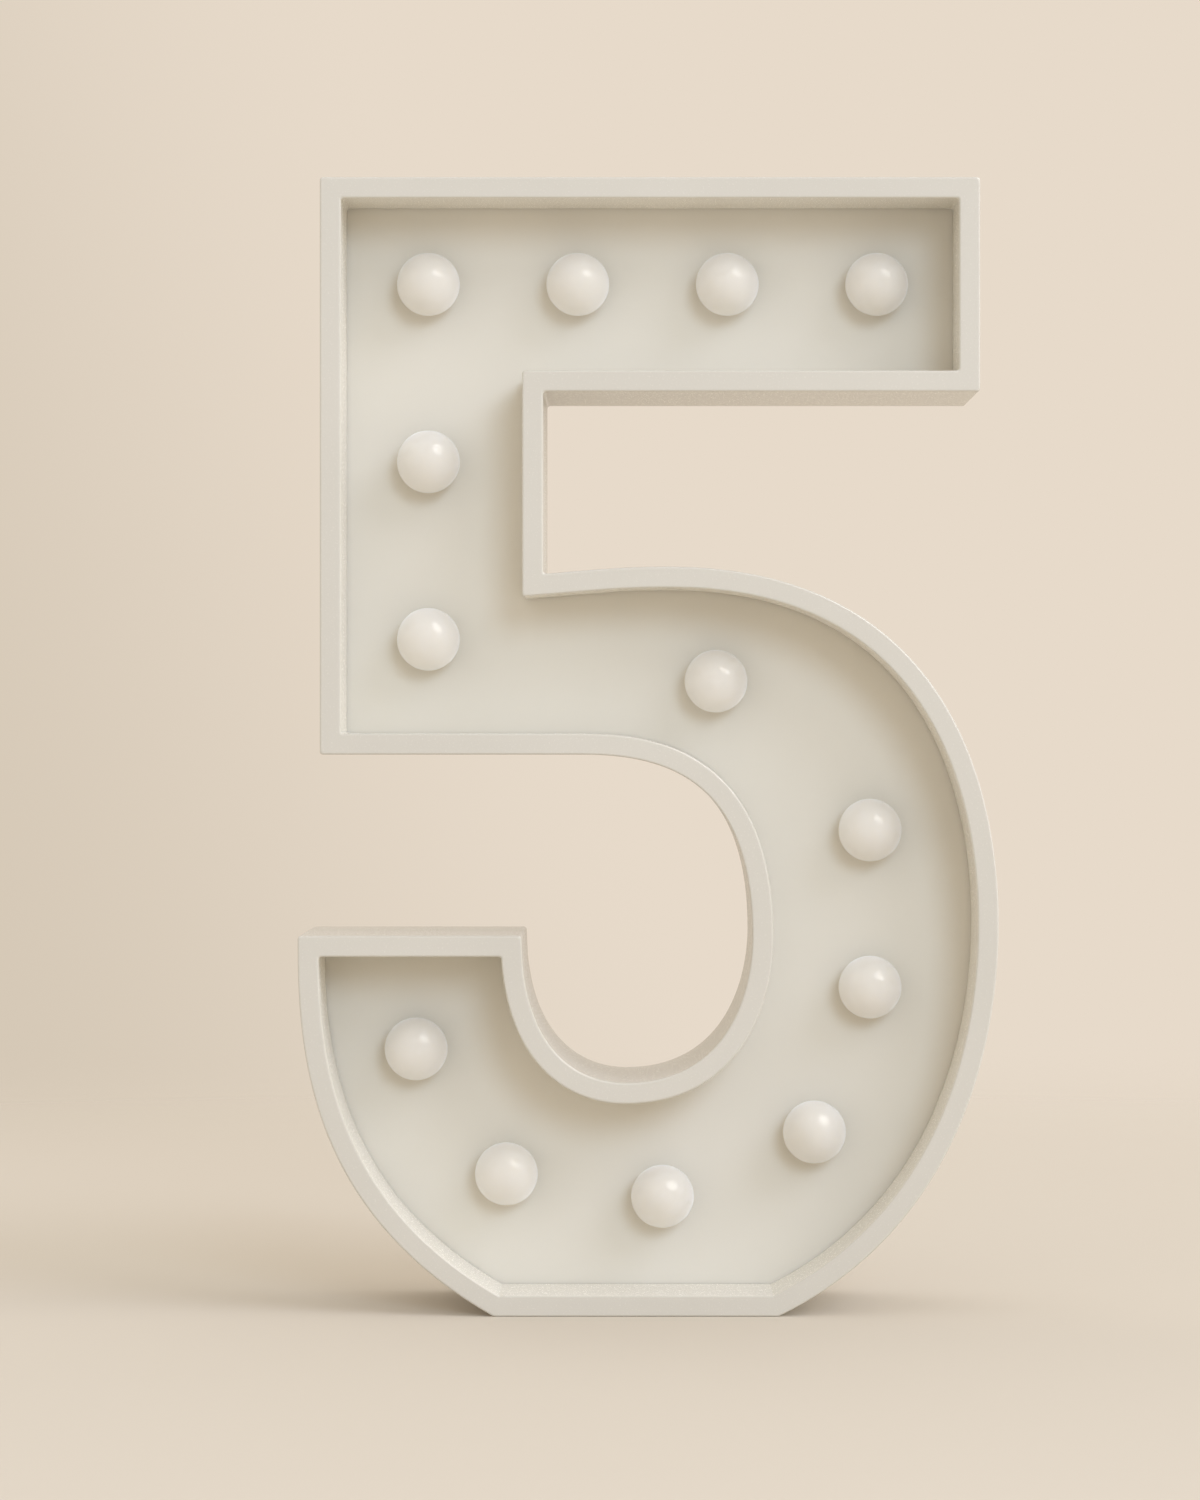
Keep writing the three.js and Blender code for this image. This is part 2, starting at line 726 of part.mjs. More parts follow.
// The least gap of the contact spring to itself, measured between points over half a turn apart
function springGap() {
  const points = new ConicalCoil().getPoints(gapSamples);
  const halfTurn = gapSamples / springTurns / 2;
  const distances = points.flatMap((point, i) => (
    points.slice(i + Math.ceil(halfTurn)).map((other) => point.distanceTo(other))
  ));
  return Math.min(...distances) - springWire;
}

console.log(`contact spring: least gap to itself ${springGap().toFixed(2)} mm`);

function contactSpring() {
  return tube(new ConicalCoil(), springWire, springSides, springTurns * springStepsPerTurn);
}

function contactPlate(x0, x1) {
  return block(x0, x1, -plateThickness, 0, -plateSize / 2, plateSize / 2);
}

function contactTag() {
  return block(
    -tagWidth / 2, tagWidth / 2,
    -plateInset - bayWall - tagReach, -plateThickness / 2,
    -plateThickness / 2, plateThickness / 2,
  );
}

function positiveContact() {
  return toGeometry(join([contactPlate(-plateSize / 2, plateSize / 2), contactTag()]));
}

function negativeContact() {
  const plate = contactPlate(-plateSize / 2, plateSize / 2);
  return toGeometry(join([plate, contactTag(), contactSpring()]));
}

// Bridge at the foot of the bay: one plate for both cells, with a spring for the right one
function bridgeContact() {
  const plate = contactPlate(-cellOffset - plateSize / 2, cellOffset + plateSize / 2);
  const spring = contactSpring().translate(cellOffset, 0, 0);
  return toGeometry(join([plate, spring]));
}

// Switch knob, the slider under the cover and the lever that reaches the switch
function switchSlider() {
  const knob = block(
    -knobLength / 2, knobLength / 2, -knobWidth / 2, knobWidth / 2,
    back + fit, sliderFront - sliderThickness / 2,
  );
  const slider = block(
    -sliderLength / 2, sliderLength / 2, -sliderWidth / 2, sliderWidth / 2,
    sliderRear, sliderFront,
  );
  const lever = block(
    -leverSize / 2, leverSize / 2, -leverSize / 2, leverSize / 2,
    sliderFront - sliderThickness / 2, sliderFront + leverDepth,
  );
  const grips = [];
  for (let i = 1; i <= gripCount; i += 1) {
    const x = (knobLength * i) / (gripCount + 1) - knobLength / 2;
    grips.push(block(
      x - gripGroove / 2, x + gripGroove / 2, -knobWidth, knobWidth,
      back - cutOverrun, back + fit + gripGroove,
    ));
  }
  return toGeometry(cut(join([knob, slider, lever]), grips));
}

// Slide switch: its case with the lever's slot, staked ears and three terminals
function switchBody() {
  const slotHalfLength = (leverSize + switchTravel) / 2 + fit;
  const caseBlock = block(
    -switchLength / 2, switchLength / 2, -switchWidth / 2, switchWidth / 2,
    switchRear, switchFront,
  );
  const ears = block(
    -earSpan / 2, earSpan / 2, -switchWidth / 2, switchWidth / 2,
    switchRear, switchRear + earThickness,
  );
  const terminals = [-1, 0, 1].map((step) => block(
    step * terminalPitch - terminalWidth / 2, step * terminalPitch + terminalWidth / 2,
    -terminalThickness / 2, terminalThickness / 2,
    switchFront - terminalThickness, terminalEnd,
  ));
  const slot = block(
    -slotHalfLength, slotHalfLength, -leverSize / 2 - fit, leverSize / 2 + fit,
    switchRear - cutOverrun, sliderFront + leverDepth + fit,
  );
  const stakeHoles = [-stakePitch / 2, stakePitch / 2].map((x) => rod(
    x, 0, stakeDiameter + fit * 2,
    switchRear - cutOverrun, switchRear + earThickness + cutOverrun,
  ));
  return toGeometry(cut(join([caseBlock, ears, ...terminals]), [slot, ...stakeHoles]));
}

// Pan head screw, its head towards the back
function coverScrew() {
  const headRear = headSeat - fit - screwHeadHeight;
  const headFront = headSeat - fit;
  const profile = [
    new THREE.Vector2(0, headRear),
    new THREE.Vector2((screwHeadDiameter / 2) * screwTopShare, headRear),
    new THREE.Vector2(screwHeadDiameter / 2, headRear + screwHeadHeight / 2),
    new THREE.Vector2(screwHeadDiameter / 2, headFront),
    new THREE.Vector2(shankDiameter / 2, headFront),
    new THREE.Vector2(shankDiameter / 2, headFront + shankLength - shankDiameter),
    new THREE.Vector2(0, headFront + shankLength),
  ];
  return new THREE.LatheGeometry(profile, smallSides).rotateX(Math.PI / 2);
}

// Middle line of the lamp string, through every lamp in turn
const lampLine = new THREE.CatmullRomCurve3(lamps.map(({ x, y }) => new THREE.Vector3(x, y, wireZ)));
const lampSpans = lamps.length - 1;

// A line beside the middle line, on its left where side is 1 and on its right where side is -1.
// Its steps follow the lamps rather than the arc length, so that a step ends beside each lamp.
class StringLine extends THREE.Curve {
  constructor(side) {
    super();
    this.side = side;
  }

  getPoint(t, target = new THREE.Vector3()) {
    const tangent = lampLine.getTangent(t);
    const aside = new THREE.Vector3(-tangent.y, tangent.x, 0).normalize();
    return target.copy(lampLine.getPoint(t)).addScaledVector(aside, this.side * wireOffset);
  }

  getUtoTmapping(u) {
    return u;
  }
}

function stringWire(side) {
  return tube(new StringLine(side), wireDiameter, wireSides, lampSpans * wireStepsPerSpan);
}

const tagEndY = bayHigh + bayWall + tagReach;
const overWireZ = wireZ - wireDiameter - fit;

// Lead from the positive contact's tag to the switch's first terminal
function positiveLead() {
  const startX = bayX + cellOffset;
  const endX = switchX - terminalPitch;
  const half = wireDiameter / 2;
  const curve = new THREE.CatmullRomCurve3([
    new THREE.Vector3(startX, tagEndY + fit, cellZ),
    new THREE.Vector3(startX, tagEndY + tagReach, cellZ),
    new THREE.Vector3(THREE.MathUtils.lerp(startX, endX, leadBendShare), switchY - tagReach, cellZ),
    new THREE.Vector3(endX - tagReach * 2, switchY, terminalEnd + half + fit),
    new THREE.Vector3(endX, switchY, terminalEnd + half + fit),
  ]);
  return tube(curve, wireDiameter, wireSides, leadSteps);
}

// Lead from the negative contact's tag to the upper wire of the lamp string
function negativeLead() {
  const startX = bayX - cellOffset;
  const topY = lamps[0].y + wireOffset;
  const endX = (lamps[3].x + lamps[2].x) / 2;
  const curve = new THREE.CatmullRomCurve3([
    new THREE.Vector3(startX, tagEndY + fit, cellZ),
    new THREE.Vector3(startX, tagEndY + tagReach, cellZ),
    new THREE.Vector3(startX, topY - tagReach, (cellZ + overWireZ) / 2),
    new THREE.Vector3((startX + endX) / 2, topY, overWireZ - fit),
    new THREE.Vector3(endX, topY, overWireZ),
  ]);
  return tube(curve, wireDiameter, wireSides, leadSteps);
}

// Series resistor from the switch's last terminal down to the lower wire of the lamp string
function seriesResistor() {
  const low = terminalEnd + fit;
  const high = wireZ - wireDiameter / 2 - fit;
  const middle = (low + high) / 2;
  const leads = rod(0, 0, resistorLead, low, high, wireSides);
  const body = rod(0, 0, resistorDiameter, middle - resistorLength / 2, middle + resistorLength / 2);
  return toGeometry(join([leads, body]));
}

const numeral = new THREE.Group();

function place(name, geometry, material, x = 0, y = 0, z = 0) {
  const mesh = new THREE.Mesh(geometry, material.clone());
  mesh.name = name;
  mesh.position.set(x, y, z);
  numeral.add(mesh);
  return mesh;
}

place('side_frame', sideFrame(), shellWhite);
place('face_panel', facePanel(), panelWhite);
place('rear_cover', rearCover(), coverWhite);
place('battery_door', batteryDoor(), coverWhite);

const globeGeometry = globe();
lamps.forEach(({ x, y }, i) => {
  const tangent = lampLine.getTangent(i / lampSpans);
  place(`globe_${i + 1}`, globeGeometry, globeMilk, x, y);
  place(`diode_${i + 1}`, diode(Math.atan2(tangent.y, tangent.x) + Math.PI / 2), diodeEpoxy, x, y);
});

const screwGeometry = coverScrew();
screws.forEach(({ x, y }, i) => place(`cover_screw_${i + 1}`, screwGeometry, screwSteel, x, y));

place('cell_right', cell(), cellSleeve, bayX + cellOffset, bayLow + springSeat, cellZ);
const leftCellTop = bayHigh - springSeat;
const cellLeft = place('cell_left', cell(), cellSleeve, bayX - cellOffset, leftCellTop, cellZ);
cellLeft.rotation.z = Math.PI;

place('contact_bridge', bridgeContact(), springSteel, bayX, bayLow + plateInset, cellZ);
const upperY = bayHigh - plateInset;
const contactPositive = place(
  'contact_positive', positiveContact(), springSteel, bayX + cellOffset, upperY, cellZ,
);
contactPositive.rotation.z = Math.PI;
const contactNegative = place(
  'contact_negative', negativeContact(), springSteel, bayX - cellOffset, upperY, cellZ,
);
contactNegative.rotation.z = Math.PI;

const knobX = switchX - switchTravel / 2;
place('switch_slider', switchSlider(), knobWhite, knobX, switchY);
place('switch_body', switchBody(), switchBlack, switchX, switchY);
place('series_resistor', seriesResistor(), resistorTan, switchX + terminalPitch, switchY);
place('string_wire_positive', stringWire(1), wireRed);
place('string_wire_negative', stringWire(-1), wireBlack);
place('battery_lead_positive', positiveLead(), wireRed);
place('battery_lead_negative', negativeLead(), wireBlack);

numeral.rotation.x = Math.PI / 2;

const marqueeNumber = new THREE.Group();
marqueeNumber.add(numeral);

export default marqueeNumber;
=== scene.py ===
import math

import bmesh
import bpy
from mathutils import Matrix, Vector


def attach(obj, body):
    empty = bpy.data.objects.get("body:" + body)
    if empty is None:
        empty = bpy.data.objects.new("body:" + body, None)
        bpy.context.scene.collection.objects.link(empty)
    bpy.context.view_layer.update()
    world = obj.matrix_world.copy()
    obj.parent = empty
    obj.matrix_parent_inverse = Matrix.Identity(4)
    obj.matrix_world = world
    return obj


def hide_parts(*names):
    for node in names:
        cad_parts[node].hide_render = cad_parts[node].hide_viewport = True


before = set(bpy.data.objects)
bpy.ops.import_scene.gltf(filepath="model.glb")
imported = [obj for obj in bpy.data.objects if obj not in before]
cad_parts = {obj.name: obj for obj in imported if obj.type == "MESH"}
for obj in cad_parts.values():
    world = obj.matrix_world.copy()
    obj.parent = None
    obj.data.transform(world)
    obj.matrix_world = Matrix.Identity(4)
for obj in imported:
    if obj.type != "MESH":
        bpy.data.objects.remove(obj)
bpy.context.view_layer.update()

# Light up marquee number: a moulded numeral five with thirteen milky globes.
# Sizes are in millimetres, as in the part, and meshes are made in metres. +X is the numeral's
# right, +Y its back and +Z up.
MM = 0.001

# Outline of the numeral
NUMERAL_HEIGHT = 220.0
NUMERAL_WIDTH = 135.4
BAR_LENGTH = 127.5
BAR_HEIGHT = 41.4
STEM_WIDTH = 43.1
STEM_SETBACK = 4.3
NOTCH_HEIGHT = 35.2
CROWN_RISE = 1.4
MOUTH_HEIGHT = 35.0
HOOK_HEIGHT = 73.5
HOOK_WIDTH = 43.2
COUNTER_WIDTH = 44.6
COUNTER_HEIGHT = 63.4
BASE_WIDTH = 55.0
BASE_SETBACK = 37.8
RIGHT_FLANK_ANGLE = math.radians(25.7)
LEFT_FLANK_ANGLE = math.radians(29.5)

# Shares that shape the outline's curves, each of the run or the rise that its curve spans
CROWN_SHARE = 0.277
WAIST_SHARE = 0.524
HIP_SHARES = (0.434, 0.418)
SHOULDER_SHARES = (0.407, 0.827)
BROW_SHARES = (0.4, 0.45)
ARCH_SHARE = 0.253
ARCH_SHARES = (0.458, 0.9)
COUNTER_WAIST_SHARE = 0.443
COUNTER_FLOOR_SHARE = 0.45
COUNTER_HIP_SHARES = (0.3, 0.862)
COUNTER_HEEL_SHARES = (0.403, 0.82)
HOOK_SHARES = (0.272, 0.582)

# Depths, walls and edges of the housing
NUMERAL_DEPTH = 44.0
INNER_WALL_DEPTH = 20.0
RIM_WIDTH = 4.05
WALL = 1.3
PLATE_GAP = 0.3
EDGE_ROUND = 0.4
INNER_ROUND_SHARE = 0.3
WALL_TONE_SHARE = 0.1
LAST_OUTER_CORNER = 2
ROUND_STEPS = 4
CORNER_ROUND = 0.6
CORNER_STEPS = 6
CURVE_STEPS = 36
SHARP_TURN = math.radians(12)

# Globes: places on the face, and the half section from the inner end of the bore to the seat, as
# (radius, depth) points
GLOBE_RADIUS = 6.15
GLOBE_CENTRE = -7.0
GLOBE_SEAT = -2.0
GLOBE_STEPS = 28
GLOBE_SIDES = 56
NECK_RADIUS = 3.9
GLOBE_NECK = [
    (0.0, -6.7), (2.8, -6.4), (2.8, 1.2), (NECK_RADIUS, 1.2), (4.5, 0.2), (NECK_RADIUS, 0.2),
    (NECK_RADIUS, GLOBE_SEAT),
]
LAMPS = [
    (44.8, 200.6), (15.5, 200.6), (-13.8, 200.6), (-43.1, 200.6), (-43.1, 165.8), (-43.1, 131.0),
    (13.3, 122.8), (43.5, 93.6), (43.5, 62.8), (32.6, 34.4), (2.8, 21.8), (-27.8, 26.2),
    (-45.5, 50.7),
]

# Screws: places, the half section from the head to the point, and the cross recess
SCREWS = [
    (-57.2, 213.8), (57.9, 213.8), (-57.2, 114.7), (-14.1, 137.2), (61.5, 75.9), (22.0, 6.2),
    (-26.8, 6.2), (-61.5, 67.3),
]
SCREW_SECTION = [
    (0.0, 21.66), (0.9, 21.64), (1.45, 21.52), (1.85, 21.3), (2.1, 21.0), (2.2, 20.65),
    (2.2, 20.32), (2.08, 20.2), (1.1, 20.2), (1.1, 13.4), (0.0, 11.2),
]
SCREW_SIDES = 32
SCREW_CUP_RADIUS = 2.5
TURN_SEED = 5
CROSS_LENGTH = 2.5
CROSS_WIDTH = 0.62
CROSS_DEPTH = 1.6
CROSS_CENTRE = 21.5
CROSS_TAPER = 0.5

# Keyholes of the rear cover: places of the wide holes
KEYHOLES = [(-45.6, 198.0), (46.3, 198.0)]
KEYHOLE_RADIUS = 4.0
KEYHOLE_SLOT_RADIUS = 2.0
KEYHOLE_SLOT_RISE = 7.0

# Edge rounds of the cover, the door, the knob and the contacts, and the angles in degrees under
# which CAD facets are one flat face and over which an edge is rounded
COVER_ROUND = 0.15
SMALL_ROUND = 0.12
CONTACT_ROUND = 0.1
FLAT_ANGLE = 0.5
ROUNDED_ANGLE = 35

# How near points are when they are one point, and how many cuts smooth a facet of a curve
SAME_PLACE = 0.001
CURVE_CUTS = 3
CUP_CUTS = 2

# Cells: their axes, and the half section from the foot to the cap, as (radius, height) points
BAY_X = -41.85
CELL_OFFSET = 7.4
CELL_Y = 13.3
RIGHT_CELL_X, LEFT_CELL_X = BAY_X + CELL_OFFSET, BAY_X - CELL_OFFSET
RIGHT_CELL_FOOT, LEFT_CELL_FOOT = 125.5, 171.0
CELL_SECTION = [
    (0.0, 0.3), (4.9, 0.3), (5.5, 0.42), (6.2, 0.42), (6.25, 0.12), (6.6, 0.0), (6.95, 0.12),
    (7.1, 0.5), (7.1, 48.8), (6.95, 49.15), (6.6, 49.3), (5.9, 49.2), (5.85, 48.95),
    (3.4, 48.95), (3.2, 49.2), (2.75, 49.3), (2.7, 50.3), (2.5, 50.5), (0.0, 50.5),
]
CELL_SIDES = 48
SLEEVE_EDGE_RADIUS = 6.2
SLEEVE_TOP = 49.3

# Contacts: the bridge under both cells, and an end plate with a tag over each
PLATE_REACH = 4.6
BRIDGE_REACH = 12.0
BRIDGE_FOOT, BRIDGE_TOP = 119.8, 120.2
END_PLATE_FOOT, END_PLATE_TOP = 176.3, 176.7
TAG_REACH, TAG_HALF_DEPTH = 1.2, 0.2
TAG_FOOT, TAG_TOP = 176.5, 181.4
SPRING_TURNS = 3.5
SPRING_BASE_RADIUS = 3.6
SPRING_TIP_RADIUS = 2.5
SPRING_LENGTH = 4.75
SPRING_WIRE_RADIUS = 0.25
SPRING_STEPS = 36
WIRE_SIDES = 12

# Angles in degrees over which an edge is shaded sharp
SHARP_EDGE = 40
SHARP_SCREW_EDGE = 35
SHARP_WIRE_EDGE = 60

# How far the roughness of plastic varies on either side, and that of plated steel below and above
# its mean, and how much a streak in the plating is drawn out
PLASTIC_SPREAD = 0.05
STEEL_BELOW, STEEL_ABOVE = 0.08, 0.12
STREAK_STRETCH = 0.15

# Floor: half its width, and the distances at which it starts to fade and is gone. Backdrop: how
# much of a view's height adds to its way to the right, and the sum at which it is darkest.
FLOOR_REACH = 3000.0
FADE_START, FADE_END = 220.0, 750.0
BACKDROP_SLOPE = 0.35
BACKDROP_DARK = -0.17


def lerp(a, b, share):
    return a + (b - a) * share


def bezier(corners):
    """Points of a cubic curve in the plane of the face, without its last one."""
    points = []
    for i in range(CURVE_STEPS):
        t = i / CURVE_STEPS
        weights = ((1 - t) ** 3, 3 * (1 - t) ** 2 * t, 3 * (1 - t) * t * t, t ** 3)
        points.append(Vector((
            sum(w * c[0] for w, c in zip(weights, corners)),
            sum(w * c[1] for w, c in zip(weights, corners)),
        )))
    return points


def numeral_outline():
    """The numeral's outer edge as (x, z) points, anticlockwise from the base's left corner."""
    left, right = -NUMERAL_WIDTH / 2, NUMERAL_WIDTH / 2
    stem_left = left + STEM_SETBACK
    stem_right = stem_left + STEM_WIDTH
    bar_right = stem_left + BAR_LENGTH
    bar_bottom = NUMERAL_HEIGHT - BAR_HEIGHT
    notch = bar_bottom - NOTCH_HEIGHT
    crown = notch + CROWN_RISE
    crown_x = lerp(stem_right, right, CROWN_SHARE)
    waist = crown * WAIST_SHARE
    mouth = HOOK_HEIGHT + MOUTH_HEIGHT
    counter_low = mouth - COUNTER_HEIGHT
    hook_right = left + HOOK_WIDTH
    counter_right = hook_right + COUNTER_WIDTH
    arch_x = lerp(hook_right, counter_right, ARCH_SHARE)
    floor_x = lerp(hook_right, counter_right, COUNTER_FLOOR_SHARE)
    counter_waist = lerp(counter_low, mouth, COUNTER_WAIST_SHARE)
    base_left = left + BASE_SETBACK
    base_right = base_left + BASE_WIDTH
    hip, heel = waist * HIP_SHARES[0], HOOK_HEIGHT * HOOK_SHARES[1]
    hip_x, hip_z = hip * math.cos(RIGHT_FLANK_ANGLE), hip * math.sin(RIGHT_FLANK_ANGLE)
    heel_x, heel_z = heel * math.cos(LEFT_FLANK_ANGLE), heel * math.sin(LEFT_FLANK_ANGLE)
    points = [Vector((base_left, 0))]
    points += bezier([
        (base_right, 0), (base_right + hip_x, hip_z), (right, waist * (1 - HIP_SHARES[1])),
        (right, waist),
    ])
    points += bezier([
        (right, waist), (right, lerp(waist, crown, SHOULDER_SHARES[0])),
        (lerp(crown_x, right, SHOULDER_SHARES[1]), crown), (crown_x, crown),
    ])
    points += bezier([
        (crown_x, crown), (lerp(crown_x, stem_right, BROW_SHARES[0]), crown),
        (lerp(stem_right, crown_x, BROW_SHARES[0]), lerp(crown, notch, BROW_SHARES[1])),
        (stem_right, notch),
    ])
    points += [Vector(corner) for corner in (
        (stem_right, notch), (stem_right, bar_bottom), (bar_right, bar_bottom),
        (bar_right, NUMERAL_HEIGHT), (stem_left, NUMERAL_HEIGHT), (stem_left, mouth),
    )]
    points += bezier([
        (arch_x, mouth), (lerp(arch_x, counter_right, ARCH_SHARES[0]), mouth),
        (counter_right, lerp(counter_waist, mouth, ARCH_SHARES[1])),
        (counter_right, counter_waist),
    ])
    points += bezier([
        (counter_right, counter_waist),
        (counter_right, lerp(counter_waist, counter_low, COUNTER_HIP_SHARES[0])),
        (lerp(floor_x, counter_right, COUNTER_HIP_SHARES[1]), counter_low),
        (floor_x, counter_low),
    ])
    points += bezier([
        (floor_x, counter_low), (lerp(floor_x, hook_right, COUNTER_HEEL_SHARES[0]), counter_low),
        (hook_right, lerp(HOOK_HEIGHT, counter_low, COUNTER_HEEL_SHARES[1])),
        (hook_right, HOOK_HEIGHT),
    ])
    points.append(Vector((hook_right, HOOK_HEIGHT)))
    points += bezier([
        (left, HOOK_HEIGHT), (left, HOOK_HEIGHT * (1 - HOOK_SHARES[0])),
        (base_left - heel_x, heel_z), (base_left, 0),
    ])
    return points


def clear_of_corners(points):
    """The outline without the curve points so near a corner that the rim's inner edge folds."""
    count = len(points)
    corners = []
    for i, point in enumerate(points):
        arriving, leaving = point - points[i - 1], points[(i + 1) % count] - point
        turn = arriving.angle(leaving)
        if turn > SHARP_TURN:
            corners.append((i, point, RIM_WIDTH * math.tan(turn / 2) + WALL / 2))
    sharp = {i for i, _, _ in corners}
    return [
        point for i, point in enumerate(points)
        if i in sharp or all((point - corner).length > reach for _, corner, reach in corners)
    ]


def mitred(points):
    """For each point the way inwards per millimetre of inset, and its rounding offset.

    A sharp corner becomes several points with one mitre between them, each moved off the corner
    onto a small arc, so that every ring of the moulding has the same small round.
    """
    places, mitres = [], []
    count = len(points)
    for i, point in enumerate(points):
        arriving = (point - points[i - 1]).normalized()
        leaving = (points[(i + 1) % count] - point).normalized()
        inwards = Vector((-leaving.y, leaving.x))
        first = Vector((-arriving.y, arriving.x))
        mitre = (first + inwards).normalized()
        mitre /= mitre.dot(inwards)
        turn = arriving.angle_signed(leaving)
        if abs(turn) < SHARP_TURN:
            places.append(point)
            mitres.append(mitre)
            continue
        side = 1 if first.dot(leaving) > 0 else -1
        for step in range(CORNER_STEPS + 1):
            normal = first.slerp(inwards, step / CORNER_STEPS)
            places.append(point + (mitre - normal) * side * CORNER_ROUND)
            mitres.append(mitre)
    return places, mitres


# Making pieces


def node(tree, kind, inputs=None, **settings):
    """Adds a node. inputs maps a socket's name or number to a value or another node's output."""
    made = tree.nodes.new(kind)
    for name, value in settings.items():
        setattr(made, name, value)
    for key, value in (inputs or {}).items():
        if isinstance(value, bpy.types.NodeSocket):
            tree.links.new(value, made.inputs[key])
        else:
            made.inputs[key].default_value = value
    return made


def new_object(name, mesh):
    made = bpy.data.objects.new(name, mesh)
    bpy.context.scene.collection.objects.link(made)
    return made


def shade(mesh, angle):
    mesh.shade_smooth()
    mesh.set_sharp_from_angle(angle=math.radians(angle))


def finished(name, bm):
    """A shaded object from a bmesh in millimetres, with its normals outwards."""
    bmesh.ops.scale(bm, vec=(MM, MM, MM), verts=bm.verts)
    bmesh.ops.recalc_face_normals(bm, faces=bm.faces)
    mesh = bpy.data.meshes.new(name)
    bm.to_mesh(mesh)
    bm.free()
    shade(mesh, SHARP_EDGE)
    return new_object(name, mesh)


def weigh_normals(piece):
    """Keeps the wide flat faces beside a small round evenly shaded."""
    modifier = piece.modifiers.new("even_shading", "WEIGHTED_NORMAL")
    modifier.keep_sharp = True


def tree_with(name, inputs):
    """An empty geometry tree with the given (name, socket kind) inputs and a geometry output."""
    tree = bpy.data.node_groups.new(name, "GeometryNodeTree")
    for label, kind in inputs:
        tree.interface.new_socket(label, in_out="INPUT", socket_type="NodeSocket" + kind)
    tree.interface.new_socket("Geometry", in_out="OUTPUT", socket_type="NodeSocketGeometry")
    return tree, node(tree, "NodeGroupInput").outputs


def close_tree(tree, geometry, material, lining=None):
    """Ends a tree in real meshes with their material. lining is a selection and its material."""
    coated = node(tree, "GeometryNodeSetMaterial", {
        "Geometry": node(tree, "GeometryNodeRealizeInstances", {"Geometry": geometry}).outputs[0],
        "Material": material,
    })
    if lining:
        coated = node(tree, "GeometryNodeSetMaterial", {
            "Geometry": coated.outputs[0], "Selection": lining[0], "Material": lining[1],
        })
    node(tree, "NodeGroupOutput", {"Geometry": coated.outputs[0]})


def baked(base, tree, values):
    """Runs a geometry tree on an object and leaves its result there as a plain mesh."""
    modifier = base.modifiers.new("shape", "NODES")
    modifier.node_group = tree
    for item in tree.interface.items_tree:
        if item.in_out == "INPUT" and item.name in values:
            modifier[item.identifier] = values[item.name]
    graph = bpy.context.evaluated_depsgraph_get()
    mesh = bpy.data.meshes.new_from_object(base.evaluated_get(graph))
    base.modifiers.remove(modifier)
    for attribute in ("outline", "mitre", "profile"):
        if attribute in mesh.attributes:
            mesh.attributes.remove(mesh.attributes[attribute])
    bm = bmesh.new()
    bm.from_mesh(mesh)
    bmesh.ops.remove_doubles(bm, verts=bm.verts, dist=SAME_PLACE * MM)
    bmesh.ops.recalc_face_normals(bm, faces=bm.faces)
    bm.to_mesh(mesh)
    bm.free()
    base.data = mesh
    return base


def lathe(name, section, steps, centre=(0.0, 0.0, 0.0), axis="Y"):
    """Turns a half section of (radius, place along the axis) points about that axis."""
    bm = bmesh.new()
    rings = []
    for radius, along in section:
        if radius == 0:
            rings.append([bm.verts.new((0, 0, along))])
            continue
        angles = [math.tau * i / steps for i in range(steps)]
        rings.append([
            bm.verts.new((radius * math.cos(angle), radius * math.sin(angle), along))
            for angle in angles
        ])
    for lower, upper in zip(rings, rings[1:]):
        for i in range(steps):
            corners = [
                lower[i % len(lower)], lower[(i + 1) % len(lower)],
                upper[(i + 1) % len(upper)], upper[i % len(upper)],
            ]
            bm.faces.new(dict.fromkeys(corners))
    if axis == "Y":
        bmesh.ops.rotate(bm, matrix=Matrix.Rotation(-math.pi / 2, 3, "X"), verts=bm.verts)
    bmesh.ops.translate(bm, vec=centre, verts=bm.verts)
    return finished(name, bm)


def box(bm, low, high):
    """Adds a box between two corners to a bmesh, and gives its corners."""
    made = bmesh.ops.create_cube(bm, size=1.0)["verts"]
    bmesh.ops.scale(bm, vec=[b - a for a, b in zip(low, high)], verts=made)
    bmesh.ops.translate(bm, vec=[(a + b) / 2 for a, b in zip(low, high)], verts=made)
    return made


def round_edges(bm, edges, size):
    bmesh.ops.bevel(
        bm, geom=edges, offset=size, segments=2, affect="EDGES", profile=0.5, clamp_overlap=True,
    )


# Distances in the plane of the face within which a point lies on a curve, and over which the
# middle of an edge lies off it
ON_CURVE = 0.02
OFF_CURVE = 0.005


def nearest_on(loop, point):
    """The nearest point to a point on a closed loop of points in the plane of the face."""
    best = None
    for start, end in zip(loop, loop[1:] + loop[:1]):
        along = end - start
        share = min(1.0, max(0.0, (point - start).dot(along) / along.length_squared))
        place = start + along * share
        if best is None or (point - place).length < (point - best).length:
            best = place
    return best


def circle(x, z, radius):
    """A function that gives the nearest point of a circle, for smooth_facets."""
    centre = Vector((x, z))
    return lambda point: centre + (point - centre).normalized() * radius


